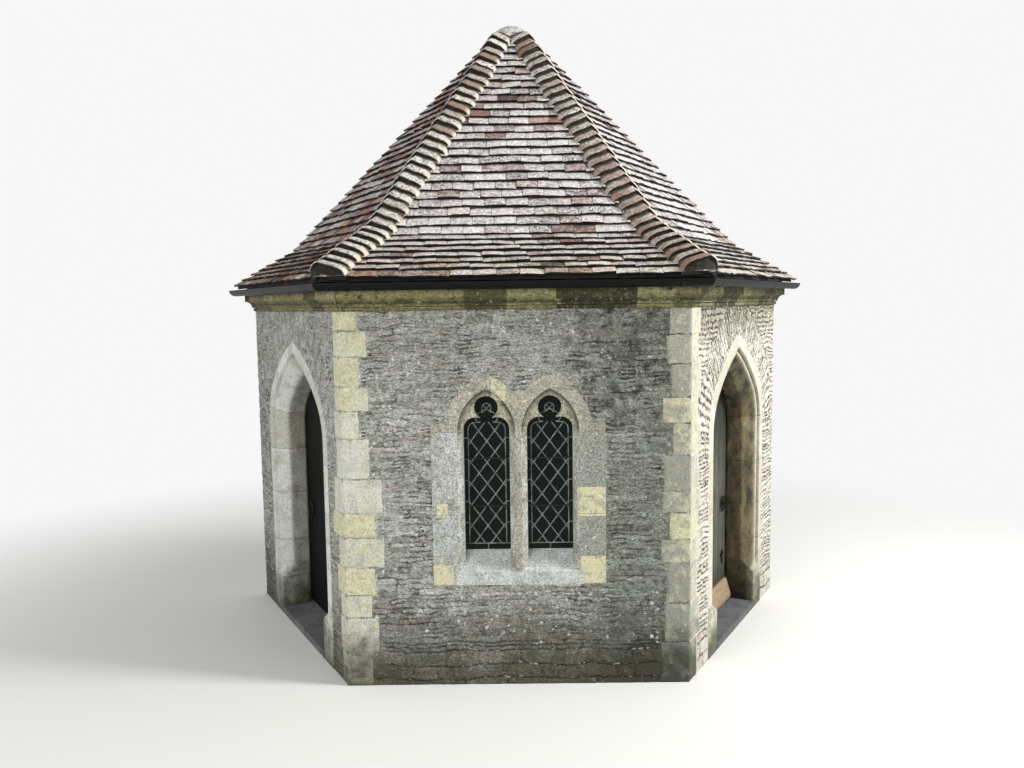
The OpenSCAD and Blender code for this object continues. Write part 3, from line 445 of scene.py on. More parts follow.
rubble("front_rubble", FRONT, FRONT_W, 11, 0.40, 0.24, 0.0020, rag_shade, front_kept)
rubble("left_rubble", LEFT, SIDE_W, 23, 0.50, 0.35, 0.0018, rag_shade, side_kept(LEFT))
rubble("right_rubble", RIGHT, SIDE_W, 37, 0.8, 1.0, 0.0040, rag_sun, side_kept(RIGHT))

# Inside and thickness of the walls
# A coat of old lime render on the rubble's inner face, brushed on thin. It has gone grey, with stains that
# run down it.


def dress(mat, *nodes):
    """Gives CAD nodes a material in place of their plain one."""
    for node in nodes:
        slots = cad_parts[node].data.materials
        slots.clear()
        slots.append(mat)


render_coat, tree, here = material("lime_render_thin")
stains = patches(tree, add(tree, "Mapping", Vector=here, Scale=(1, 1, 0.3)), 0.09, 0.58, 0.72)
colour = coats(tree, "#b9b4a5", ("#a09a8a", patches(tree, here, 0.22, 0.4, 0.65)), ("#8a8474", stains))
waves = add(tree, "TexNoise", Vector=here, Scale=1 / 0.03, Detail=7, Roughness=0.6)
finish(tree, colour, waves, 0.5, 0.008, Roughness=0.95, IOR=1.5)
dress(render_coat, *["front_wall_" + part for part in ("foot", "left", "right", "top")],
      *[side + "_wall_" + part for side in ("left", "right") for part in ("front", "back", "top")])

# Corner stones
# Blocks of limestone sawn square, each with one leg on the front wall and one on the side wall, bedded
# in lime. Some have a yellow lichen bloom, some a grey-green one, and their arrises are worn round.


def limestone(name, fresh, shadowed, palest, bloom_share, deep_reveal_tint="#9b9380"):
    """Dressed limestone: dull and chalky, its grain in flecks of 3 to 10 mm, with a bloom of lichen where it
    is wet, and dark with damp low down. The attribute bloom turns a stone yellow, tone makes it
    darker or lighter, an attribute for the reveals tints their deep parts with soot runs and painted
    shade, and joint is the mortar."""
    mat, tree, here = material(name)
    tone, bloom, joint, grime = [add(tree, "Attribute", attribute_name=name).outputs["Fac"]
                                 for name in ("tone", "bloom", "joint", "grime")]
    yellowed = patches(tree, here, 0.07, 0.28, 0.60, 8, 0.75)
    yellowed = add(tree, "Math", operation="ADD", _0=yellowed, _1=bloom)
    yellowed = add(tree, "MapRange", Value=yellowed, From_Min=0.9, From_Max=1.5)
    grain = add(tree, "TexNoise", Vector=here, Scale=1 / 0.014, Detail=8, Roughness=0.8)
    fine = add(tree, "MapRange", Value=grain, From_Min=0.35, From_Max=0.63)
    fine = add(tree, "ValToRGB", Fac=fine, stops=("#9a9a93", "#d4d4cf", "#f0f0ee", "#ffffff"))
    runs = patches(tree, add(tree, "Mapping", Vector=here, Scale=(1, 1, 0.45)), 0.10, 0.30, 0.62, 8, 0.72)
    height = add(tree, "SeparateXYZ", Vector=here).outputs["Z"]
    uneven = add(tree, "TexNoise", Vector=here, Scale=6.0, Detail=7, Roughness=0.7)
    level = add(tree, "Math", operation="SUBTRACT", _0=height, _1=uneven)
    colour = coats(
        tree, add(tree, "ValToRGB", Fac=tone, stops=(shadowed, fresh, palest)),
        (shadowed, patches(tree, here, 0.12, 0.48, 0.70, 7, 0.7)),
        (coats(tree, "#dcd9b8", ("#c9c5a4", patches(tree, here, 0.05, 0.4, 0.6, 6))), yellowed),
        ("#a19e91", joint),
        (fine, 0.9, "MULTIPLY"),
        ("#66645a", patches(tree, here, 0.030, 0.62, 0.66, 8, 0.75)),
        ("#e6e7e1", patches(tree, here, 0.035, bloom_share, bloom_share + 0.04, 8, 0.78)),
        (deep_reveal_tint, grime, "MULTIPLY"),
        ("#332f26", product(tree, runs, grime)),
        ("#76776a", add(tree, "MapRange", Value=level, From_Min=-0.02, From_Max=-0.42), "MULTIPLY"))
    finish(tree, colour, grain, 0.5, 0.005, Roughness=0.88, IOR=1.5)
    return mat


lime_shade = limestone("limestone_dressed_grey_cream", "#cfcdc1", "#b3b2a7", "#e2e3dd", 0.61)
lime_ring = limestone("limestone_dressed_white_grey", "#d9dbd5", "#bcb9ab", "#eceeeb", 0.61)
# The right corner stones' copy, duller and darker as a painted shade on their front faces
lime_corner = limestone("limestone_dressed_dull_cream", "#b9b6a6", "#92948a", "#e3dccd", 0.62)
lime_sun = limestone("limestone_dressed_pale_cream", "#d8d0bf", "#c0b8a6", "#e2dccf", 0.60, "#b5aa88")


def joined(parts):
    """Several meshes as one: their points, and their faces with the numbers moved past the points before."""
    starts = np.cumsum([0] + [len(points) for points, _ in parts[:-1]])
    return (np.concatenate([points for points, _ in parts]),
            np.concatenate([quads + start for (_, quads), start in zip(parts, starts)]))


def worn_edge(inwards, radius):
    """How far a worn arris falls back: a quarter circle of the radius, from the edge inwards."""
    return radius * (1 - np.sqrt(1 - (1 - np.clip(inwards / radius, 0, 1)) ** 2))


def quoins(name, node, wall, mat, looks):
    """Each stone as a grid round the corner: rows run from the end of one leg over the arris to the end
    of the other, columns from its bed to its top. Its edges are worn back unevenly: at beds down to the
    mortar 2 mm in, at the ends 12 mm under the rubble's mortar. The face turns from one wall's direction
    to the other over 16 mm. looks gives each stone's tone (0 dark, 1 pale) and its share of yellow bloom.
    On the right corner the side faces' tone is raised as painted sunlight."""
    edge = np.array([0, 0.0015, 0.004, 0.007, 0.011, 0.017])
    arris = np.array([-0.012, -0.006, -0.002, 0.002, 0.006, 0.012])
    clear = 0.002
    stones, tones, blooms, joints = [], [], [], []
    rng = np.random.default_rng(7 + wall)
    z = quoin_levels(wall)
    for i, ((_, front, side), (stone_tone, stone_bloom)) in enumerate(zip(QUOINS[wall], looks)):
        front, side = front / 1000 - clear, side / 1000 - clear
        low, high = z[i], z[i + 1]
        round_it = np.concatenate([-front + edge, np.linspace(-front + 0.03, -0.02, 14), arris,
                                   np.linspace(0.02, side - 0.03, 12), (side - edge)[::-1]])
        up_it = np.concatenate([low + edge, np.linspace(low + 0.028, high - 0.028, 14), (high - edge)[::-1]])
        along, up = np.meshgrid(round_it, up_it, indexing="ij")
        ends, beds = np.minimum(along + front, side - along), np.minimum(up - low, high - up)
        ragged = 0.007 * rough(along + 5 * i, up, 0.045, 70 + i)
        back = np.maximum(worn_edge(ends + ragged - 0.003, 0.016),
                          np.minimum(worn_edge(beds + ragged, 0.008), 0.0022))
        back = np.where(ends < 0.001, 0.0115, back) + 0.0008 * (1 + rough(along + 3 * i, up, 0.06, 50 + i))
        back += 0.010 * np.clip(rough(along + 9 * i, up, 0.05, 90 + i) - 0.45, 0, 1)
        back += 0.0035 * np.exp(-(along / 0.006) ** 2)
        turn = np.clip(along / 0.016 + 0.5, 0, 1) * math.radians(60)
        x = FRONT_W / 2 + np.where(along > 0, along * 0.5, along) - back * np.sin(turn)
        y = FRONT_Y + np.where(along > 0, along * SIN_60, 0) + back * np.cos(turn)
        points = np.stack([wall * x, y, up], -1).reshape(-1, 3)
        stones.append((points, grid_faces(*along.shape, wall == LEFT)))
        # Painted sunlight on the right corner stones' side faces: their tone is raised
        painted_sunlight = 0.55 * np.clip(along / 0.03, 0, 1) * (wall == RIGHT)
        tones.append((stone_tone + rng.uniform(-0.06, 0.06) + painted_sunlight).ravel())
        filled = 0.5 + 0.5 * noise(along * 3, up + i, 0.2, 33)
        joints.append((np.clip(1.3 - (beds + ragged) / 0.003, 0, 1) * filled).ravel())
        spread = stone_bloom + 0.35 * rough(along * 2, up * 2 + i, 0.25, 5 + i)
        blooms.append(spread.ravel() * (stone_bloom > 0.05))
    tones = np.concatenate(tones)
    obj = surface(name, *joined(stones), mat, tone=tones, bloom=np.concatenate(blooms),
                  joint=np.concatenate(joints), grime=tones * 0)
    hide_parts(node)


quoins("left_corner_stones", "left_quoins", LEFT, lime_shade,
       [(0.45, 0.0), (0.6, 0.15), (0.65, 0.45), (0.7, 1.1), (0.5, 0.3), (0.7, 1.2), (0.75, 0.2),
        (0.75, 0.1), (0.8, 0.5), (0.7, 0.6), (0.7, 0.8), (0.75, 0.7), (0.65, 0.8)])
quoins("right_corner_stones", "right_quoins", RIGHT, lime_corner,
       [(0.0, 0.0), (0.0, 0.1), (0.1, 0.2), (0.15, 0.45), (0.15, 0.7), (0.2, 0.2),
        (0.15, 0.1), (0.25, 0.35), (0.2, 0.65), (0.2, 0.1), (0.3, 0.25), (0.25, 0.15)])

# Doorways
# Limestone jambs and four-centred arches, moulded on the bench: a square groove at the arris, then a broad
# hollowed chamfer that dies into a square block at the foot. Laid in blocks 0.3 to 0.6 m long.

# The moulding's section as places out from the arris and in from the wall's face, from the rubble round to
# the inside, and the square block's at the foot
MOULDED = np.array([
    (0.139, 0.0115), (0.136, 0.006), (0.131, 0.0025), (0.122, 0), (0.105, 0), (0.078, 0), (0.055, 0),
    (0.040, 0), (0.036, 0.004), (0.035, 0.038), (0.020, 0.046), (0.005, 0.042), (0.003, 0.018),
    (-0.006, 0.021), (-0.018, 0.036), (-0.035, 0.053), (-0.052, 0.070), (-0.070, 0.088), (-0.087, 0.105),
    (-0.102, 0.121), (-0.105, 0.130), (-0.105, 0.165), (-0.105, 0.200), (-0.105, 0.240), (-0.105, 0.260),
    (-0.04, 0.260), (0.139, 0.260)])
SQUARE = np.array([
    (0.139, 0.0115), (0.136, 0.006), (0.131, 0.0025), (0.122, 0), (0.105, 0), (0.075, 0), (0.045, 0),
    (0.026, 0), (0.018, 0), (0.010, 0), (0.002, 0), (-0.006, 0), (-0.014, 0), (-0.024, 0), (-0.036, 0),
    (-0.050, 0), (-0.065, 0), (-0.080, 0), (-0.094, 0), (-0.1025, 0.004), (-0.105, 0.012), (-0.105, 0.08),
    (-0.105, 0.15), (-0.105, 0.22), (-0.105, 0.26), (-0.04, 0.26), (0.139, 0.26)])


def doorway(name, nodes, wall, joints, mat, grime, shaded_from, seed):
    """The jambs' section carried up one side, round the four-centred arch and down the other. Along the
    jambs it moves straight up; on a haunch and on an upper arc it turns about that arc's centre, so a
    point d outside the arris runs on a circle of radius R + d. At the joints it sinks by 4 mm. At the
    foot the chamfer runs out to a square corner between 0.43 and 0.33 m up. Each half is worn on its own."""
    half, (turn, centre, upper_x, upper_y, radius) = DOOR_HALF[wall], arch_shape(wall)
    haunch_end = DOOR_SPRING + HAUNCH * turn
    rows = [np.linspace(0.0, 0.30, 11)[:-1],
            np.linspace(0.30, 0.46, 9)[:-1],
            np.linspace(0.46, DOOR_SPRING, 40),
            DOOR_SPRING + HAUNCH * turn * np.linspace(0, 1, 20)[1:],
            haunch_end + radius * (math.acos(-upper_x / radius) - turn) * np.linspace(0, 1, 36)[1:]]
    total = rows[-1][-1]
    beside = np.array([-0.005, -0.0025, -0.001, 0.001, 0.0025, 0.005])
    near = np.concatenate([joint + beside for joint in joints[0] + joints[1]])
    length = np.unique(np.round(np.concatenate(rows + [near[near < total]]), 4))
    run, out = np.meshgrid(length, MOULDED[:, 0], indexing="ij")
    deep = np.broadcast_to(MOULDED[:, 1], run.shape)
    normal_out = np.gradient(deep, axis=1)
    foot = np.clip((0.43 - run) / 0.10, 0, 1)
    out, deep = out + (SQUARE[:, 0] - out) * foot, deep + (SQUARE[:, 1] - deep) * foot
    normal_deep = -np.gradient(out, axis=1)
    size = np.hypot(normal_out, normal_deep) + 1e-9
    halves, tones, mortar, depths = [], [], [], []
    for k, (side, own_joints) in enumerate(zip((-1, 1), joints)):
        gap = np.min([np.abs(run - joint) for joint in own_joints], axis=0)
        sunk = 0.004 * np.clip(1 - gap / 0.004, 0, 1)
        sunk += 0.0016 * (1 + rough(run + 7 * k, out * 1.3 + deep, 0.05, seed + k))
        sunk += 0.012 * np.clip(rough(run + 7 * k, out + deep, 0.045, seed + 40 + k) - 0.42, 0, 1)
        moved_out, moved_deep = out + normal_out / size * sunk, deep - normal_deep / size * sunk
        chipped = np.clip(rough(run + 3 * k, out, 0.05, seed + 60 + k), 0, 1) * (out > 0.118) * (deep < 0.2)
        moved_deep = moved_deep + 0.004 * chipped
        moved_deep[:, 0] = 0.012
        moved_deep = np.clip(moved_deep, 0, 0.2598)
        on_haunch = np.clip((run - DOOR_SPRING) / (HAUNCH * turn), 0, 1) * turn
        share = np.clip((run - haunch_end) / (total - haunch_end), 0, 1)
        angle = turn + share * (np.arccos(np.clip(-upper_x / (radius + moved_out), -1, 1)) - turn)
        across = np.where(share > 0, upper_x + (radius + moved_out) * np.cos(angle),
                          centre + (HAUNCH + moved_out) * np.cos(on_haunch))
        rise = np.where(share > 0, upper_y + (radius + moved_out) * np.sin(angle),
                        (HAUNCH + moved_out) * np.sin(on_haunch))
        across = np.where(run <= DOOR_SPRING, half + moved_out, across)
        up = np.where(run <= DOOR_SPRING, run, DOOR_SPRING + rise)
        points = wall_point(wall, DOOR_MIDDLE[wall] + side * across, moved_deep, up).reshape(-1, 3)
        halves.append((points, grid_faces(*run.shape, side * wall > 0)))
        stone = np.searchsorted(np.array(own_joints), run)
        tones.append(np.random.default_rng(seed + k).uniform(0.15, 0.95, 40)[stone].ravel())
        mortar.append(np.clip(1.4 - gap / 0.003, 0, 1).ravel())
        depths.append(moved_deep.ravel())
    tone = np.concatenate(tones)
    # Soot and painted shade darken the reveal and the groove from this depth in
    shaded_part = np.clip((np.concatenate(depths) - shaded_from) / 0.02, 0, 1)
    obj = surface(name, *joined(halves), mat, tone=tone, grime=grime * shaded_part, bloom=0 * tone,
                  joint=np.concatenate(mortar))
    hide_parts(*nodes)


# Joints as distances up the jamb and round the arch, for the front side and for the back; then how
# strongly soot and painted shade darken each reveal, and from what depth in
doorway("left_doorway", ("left_front_jamb", "left_back_jamb", "left_arch"), LEFT,
        [[0.33, 0.78, 1.20, 1.58, 1.92, 2.30, 2.62], [0.33, 0.66, 1.10, 1.50, 1.86, 2.25, 2.60]],
        lime_ring, 0.45, 0.10, 310)
doorway("right_doorway", ("right_front_jamb", "right_back_jamb", "right_arch"), RIGHT,
        [[0.33, 0.72, 1.15, 1.55, 1.95, 2.32, 2.60], [0.33, 0.62, 0.95, 1.34, 1.74, 2.12, 2.45]],
        lime_sun, 1.0, 0.022, 330)

# Window stones
# Two lights under trefoiled heads, cut from four blocks of limestone with a mullion and jambs between,
# on a sloping sill. The stone is grey-cream with yellow bloom low down and reddish lichen on the mullion.

# Blocks with a yellow bloom: middle across, half width, middle height and half height
YELLOW_BLOCKS = ((0.545, 0.105, 1.354, 0.106), (0.565, 0.105, 0.855, 0.100), (-0.55, 0.09, 0.824, 0.072),
                 (-0.535, 0.04, 1.30, 0.05), (-0.12, 0.05, 2.17, 0.08))


def window_limestone(name, tones, crust):
    """The window's limestone: grey and grainy where weather has taken its skin, a painted shadow darkening
    it to the right, with joints between its stones, buff patches, ragged crusts 15 to 40 mm across and some
    blocks with a yellow bloom. The splayed recess is paler; in the heads a painted shade darkens it just
    inside the arris, and it grows paler deeper in."""
    mat, tree, here = material(name)
    xyz = add(tree, "SeparateXYZ", Vector=here).outputs
    face = add(tree, "CombineXYZ", X=xyz["X"], Y=xyz["Z"])
    face = add(tree, "Mapping", Vector=face, Location=(0.211, -0.066, 0))
    laid = add(tree, "TexBrick", Vector=face, Color1="#000000", Color2="#ffffff", Mortar="#000000",
               Scale=1.0, Mortar_Size=0.0016, Mortar_Smooth=0.6, Brick_Width=0.458, Row_Height=0.30,
               offset=0.0)
    joints = laid.outputs["Fac"]
    yellow = 0.0
    for x, half_x, z, half_z in YELLOW_BLOCKS:
        block = product(tree, add(tree, "Math", operation="COMPARE", _0=xyz["X"], _1=x, _2=half_x),
                        add(tree, "Math", operation="COMPARE", _0=xyz["Z"], _1=z, _2=half_z))
        yellow = add(tree, "Math", operation="MAXIMUM", _0=yellow, _1=block)
    yellow = product(tree, yellow, patches(tree, here, 0.06, 0.38, 0.50, 8, 0.8))
    # The heads' recess by depth: painted shade just inside the arris, paler deeper in
    depth = add(tree, "MapRange", Value=xyz["Y"], From_Min=FRONT_Y + 0.004, From_Max=FRONT_Y + 0.085)
    head = add(tree, "ValToRGB", Fac=depth, stops=("#4c4a3e", "#a19e88", "#d6d3bd", "#e6e3d1", "#efecdd"))
    head = coats(tree, head, ("#bdb7a0", patches(tree, here, 0.05, 0.46, 0.64, 7, 0.7), "MULTIPLY"))
    runs = patches(tree, add(tree, "Mapping", Vector=here, Scale=(1, 1, 0.35)), 0.05, 0.42, 0.62, 7, 0.7)
    recess = coats(tree, "#d9dcd6", ("#a9a698", runs),
                   (head, add(tree, "MapRange", Value=xyz["Z"], From_Min=1.80, From_Max=1.90)))
    grain = add(tree, "TexNoise", Vector=here, Scale=1 / 0.014, Detail=8, Roughness=0.82)
    fine = add(tree, "MapRange", Value=grain, From_Min=0.35, From_Max=0.63)
    flecked = add(tree, "ValToRGB", Fac=fine, stops=("#4c4c46", "#a8a8a4", "#e8e8e6", "#ffffff"))
    colour = coats(
        tree, add(tree, "ValToRGB", Fac=laid, stops=tones),
        # Painted shadow over the window's right side
        ("#d3d4cc", add(tree, "MapRange", Value=xyz["X"], From_Min=0.25, From_Max=0.55), "MULTIPLY"),
        ("#9fa096", patches(tree, here, 0.10, 0.46, 0.66, 8, 0.75)),
        ("#c4bda4", patches(tree, here, 0.22, 0.54, 0.66, 8, 0.75)),
        (recess, add(tree, "MapRange", Value=xyz["Y"], From_Min=FRONT_Y + 0.002, From_Max=FRONT_Y + 0.005)),
        (flecked, 1.0, "MULTIPLY"),
        (add(tree, "ValToRGB", Fac=fine, stops=("#a19c78", "#c2bd98", "#d0cba7", "#d8d4b3")), yellow),
        (crust, patches(tree, here, 0.030, 0.60, 0.64, 8, 0.78)),
        ("#47463c", patches(tree, here, 0.024, 0.63, 0.66, 8, 0.78)),
        ("#7b796e", joints))
    relief = add(tree, "Math", operation="SUBTRACT", _0=grain, _1=joints)
    finish(tree, colour, relief, 0.7, 0.007, Roughness=0.9, IOR=1.5)
    return mat


dress(window_limestone("limestone_window_grey", ("#c9cecb", "#d8ddda", "#cdd0cb", "#e2e6e3"), "#f0f3f0"),
      "window_jambs")
dress(window_limestone("limestone_window_head_buff", ("#cdc8b6", "#d8d4c6", "#c9c3ae", "#d4d0c0"),
                       "#eae9e0"), "window_head")
dress(window_limestone("limestone_mullion_reddened", ("#c3bfb2", "#cfccc0", "#bcb8a9"), "#e8e6dc"),
      "window_mullion")

# Window sill
# Slabs of grey limestone, laid to a slope and bedded under the jambs. Rain runs over them, so they are
# rough, with pale crusts and nearly black specks.
sill_stone, tree, here = material("limestone_sill_grey_weathered")
grain = add(tree, "TexNoise", Vector=here, Scale=1 / 0.014, Detail=8, Roughness=0.82)
fine = add(tree, "MapRange", Value=grain, From_Min=0.36, From_Max=0.62)
colour = coats(
    tree, "#dde1de",
    ("#b9beb9", patches(tree, here, 0.07, 0.42, 0.62, 8, 0.75)),
    (add(tree, "ValToRGB", Fac=fine, stops=("#6c6c66", "#c0c0bd", "#eeeeec", "#ffffff")), 1.0, "MULTIPLY"),
    ("#e2e6e2", patches(tree, here, 0.030, 0.58, 0.62, 8, 0.8)),
    ("#565a50", patches(tree, here, 0.024, 0.63, 0.67, 8, 0.78)))
finish(tree, colour, grain, 0.8, 0.007, Roughness=0.9, IOR=1.5)
dress(sill_stone, "window_sill")

# Window glass
# Old greenish crown glass, waved by its making and grimy. It looks nearly black against the dark room.
glass, tree, here = material("crown_glass_old_green")
waves = add(tree, "TexNoise", Vector=here, Scale=1 / 0.11, Detail=2)
colour = coats(tree, add(tree, "ValToRGB", Fac=waves, stops=("#030605", "#07100d", "#0e1915", "#060b0a")),
               ("#111815", patches(tree, here, 0.16, 0.45, 0.8, 6)))
finish(tree, colour, waves, 0.30, 0.012, Roughness=0.12, IOR=1.52, Specular_IOR_Level=0.10)
dress(glass, "window_glass")

# Leads and saddle bars
# The glass is held in lead cames 9 mm wide: a border of narrow strips, within it quarries 118 mm wide and
# 157 mm high set as diamonds, and arcs in the head. Two iron bars cross each light in front of them.
GLASS_Y = FRONT_Y + 0.135
LIGHT_LOW, LIGHT_HALF, BORDER_HALF, BORDER_LOW = 0.975, 0.166, 0.136, 0.975 + 0.045
TOP_FOIL_Z = WINDOW_SPRING + 0.16893
QUARRY_W, QUARRY_H = 0.118, 0.157
CAME_W, CAME_PROUD, BAR_W, BAR_LONG, BAR_Z = 0.009, 0.004, 0.010, 0.336, (1.300, 1.655)

# Old lead: matt and grey-white with its own oxide, darker and greener in patches
lead, tree, here = material("lead_came_oxidised")
colour = coats(tree, "#8c968f", ("#4f5a54", patches(tree, here, 0.04, 0.38, 0.62, 6)))
grain = add(tree, "TexNoise", Vector=here, Scale=1 / 0.004, Detail=5)
finish(tree, colour, grain, 0.3, 0.001, Metallic=0.35, Roughness=0.62)

# Wrought iron, black with a film of rust that takes all its shine
iron_bar, tree, here = material("iron_saddle_bar_rusted")
colour = coats(tree, "#171a18", ("#2c2822", patches(tree, here, 0.02, 0.42, 0.62, 6)))
add(tree, "OutputMaterial", Surface=add(tree, "BsdfPrincipled", Base_Color=colour, Roughness=0.8, IOR=1.5))


def in_light(x, z):
    """How far a place lies inside a light's opening, measured from its middle: a straight-sided part, two
    side foils, a neck and a top foil."""
    side = 0.088 - np.hypot(np.abs(x) - 0.078, z - WINDOW_SPRING - 0.014)
    straight = np.minimum(LIGHT_HALF - np.abs(x), np.minimum(z - LIGHT_LOW, WINDOW_SPRING + 0.014 - z))
    neck = np.minimum(0.038 - np.abs(x), np.minimum(z - WINDOW_SPRING, TOP_FOIL_Z - z))
    return np.maximum(np.maximum(side, straight), np.maximum(neck, 0.086 - np.hypot(x, z - TOP_FOIL_Z)))


def came(line, width, proud):
    """A bar along a line of points (x, z): at each point its section is a low arch of five points, from one
    edge over the crown to the other."""
    ahead = np.gradient(np.asarray(line, float), axis=0)
    ahead /= np.linalg.norm(ahead, axis=1)[:, None] + 1e-12
    aside = np.array([-1, -0.8, 0, 0.8, 1]) * width / 2
    out = np.array([0, 0.7, 1, 0.7, 0]) * proud
    x = line[:, :1] - ahead[:, 1:] * aside
    z = line[:, 1:] + ahead[:, :1] * aside
    y = GLASS_Y + 0.0005 - np.broadcast_to(out, x.shape)
    return np.stack([x, y, z], -1).reshape(-1, 3), grid_faces(*x.shape)


def leads(name, middle):
    """The cames of one light. Diagonals z = start +- rise x run inside the border strip, those with more of
    themselves inside kept; the border and its ticks are straight, and the head's leads are arcs."""
    lines = [np.array([[-LIGHT_HALF, BORDER_LOW], [LIGHT_HALF, BORDER_LOW]]),
             np.array([[0, LIGHT_LOW], [0, BORDER_LOW]])]
    rise = QUARRY_H / QUARRY_W
    x = np.linspace(-BORDER_HALF, BORDER_HALF, 300)
    for slant in (-rise, rise):
        for start in 0.995 + QUARRY_H * np.arange(-2, 10):
            z = start + slant * x
            inside = (z > BORDER_LOW) & (z < WINDOW_SPRING + 0.055) & (in_light(x, z) > 0.012)
            if inside.sum() > 8:
                ends = np.nonzero(inside)[0][[0, -1]]
                lines.append(np.stack([x[ends], z[ends]], 1))
    quarter = np.linspace(0, math.pi / 2, 10)
    share = np.linspace(0, 1, 12)
    for side in (-1, 1):
        curve = np.stack([side * (0.086 + 0.050 * np.cos(quarter)),
                          WINDOW_SPRING + 0.002 + 0.050 * np.sin(quarter)], 1)
        lines.append(np.concatenate([[[side * BORDER_HALF, BORDER_LOW]], curve,
                                     [[side * 0.045, WINDOW_SPRING + 0.056]]]))
        for z in 1.02 + QUARRY_H * np.arange(6):
            lines.append(np.array([[side * BORDER_HALF, z], [side * LIGHT_HALF, z]]))
        bow = 0.045 - 0.06 * share + 0.052 * np.sin(math.pi * share) + 0.012
        lines.append(np.stack([side * bow, WINDOW_SPRING + 0.05 + 0.10 * share], 1))
        turn = quarter * 2.4 - 0.6
        lines.append(np.stack([side * 0.034 * np.cos(turn), TOP_FOIL_Z - 0.012 + 0.036 * np.sin(turn)], 1))
        lines.append(np.array([[side * 0.034, TOP_FOIL_Z - 0.045], [-side * 0.028, TOP_FOIL_Z + 0.012]]))
    points, quads = joined([came(line, CAME_W, CAME_PROUD) for line in lines])
    surface(name, points + np.array([middle, 0, 0]), quads, lead)
    bars = [np.array([[-BAR_LONG / 2, z], [BAR_LONG / 2, z]]) for z in BAR_Z]
    points, quads = joined([came(bar, BAR_W, BAR_W) for bar in bars])
    obj = surface(name + "_saddle_bars", points + np.array([middle, -0.006, 0]), quads, iron_bar)


leads("left_light_leads", WINDOW_X - LIGHT_X)
leads("right_light_leads", WINDOW_X + LIGHT_X)

# Floor and thresholds
# Grey sandstone flags, riven and walked smooth, with earthy joints; the thresholds are single worn slabs.
flags, tree, here = material("sandstone_flags_riven_worn")
laid = add(tree, "TexBrick", Vector=here, Color1="#000000", Color2="#ffffff", Mortar="#000000", Scale=1.0,
           Mortar_Size=0.004, Mortar_Smooth=0.4, Brick_Width=0.62, Row_Height=0.44)
colour = coats(
    tree, add(tree, "ValToRGB", Fac=laid, stops=("#54575a", "#62656a", "#5b5e60", "#6c6e6e")),
    ("#414341", patches(tree, here, 0.16, 0.45, 0.70, 7, 0.65)),
    ("#8a8a82", patches(tree, here, 0.03, 0.60, 0.70, 6)),
    ("#3b382f", laid.outputs["Fac"]))
grain = add(tree, "TexNoise", Vector=here, Scale=1 / 0.03, Detail=8, Roughness=0.62)
relief = add(tree, "Math", operation="SUBTRACT", _0=grain, _1=laid.outputs["Fac"])
finish(tree, colour, relief, 0.6, 0.006, Roughness=0.85, IOR=1.5)
dress(flags, "floor", "left_threshold", "right_threshold")

# Cornice
# A moulded course of limestone under the eaves in lengths of 0.9 m, with a roll below and a hollow above,
# nearly all of it yellow-green with lichen. Stripes of painted light and shade follow the moulding: pale on
# the lit top, painted shade in the hollow and at the top under the gutter.


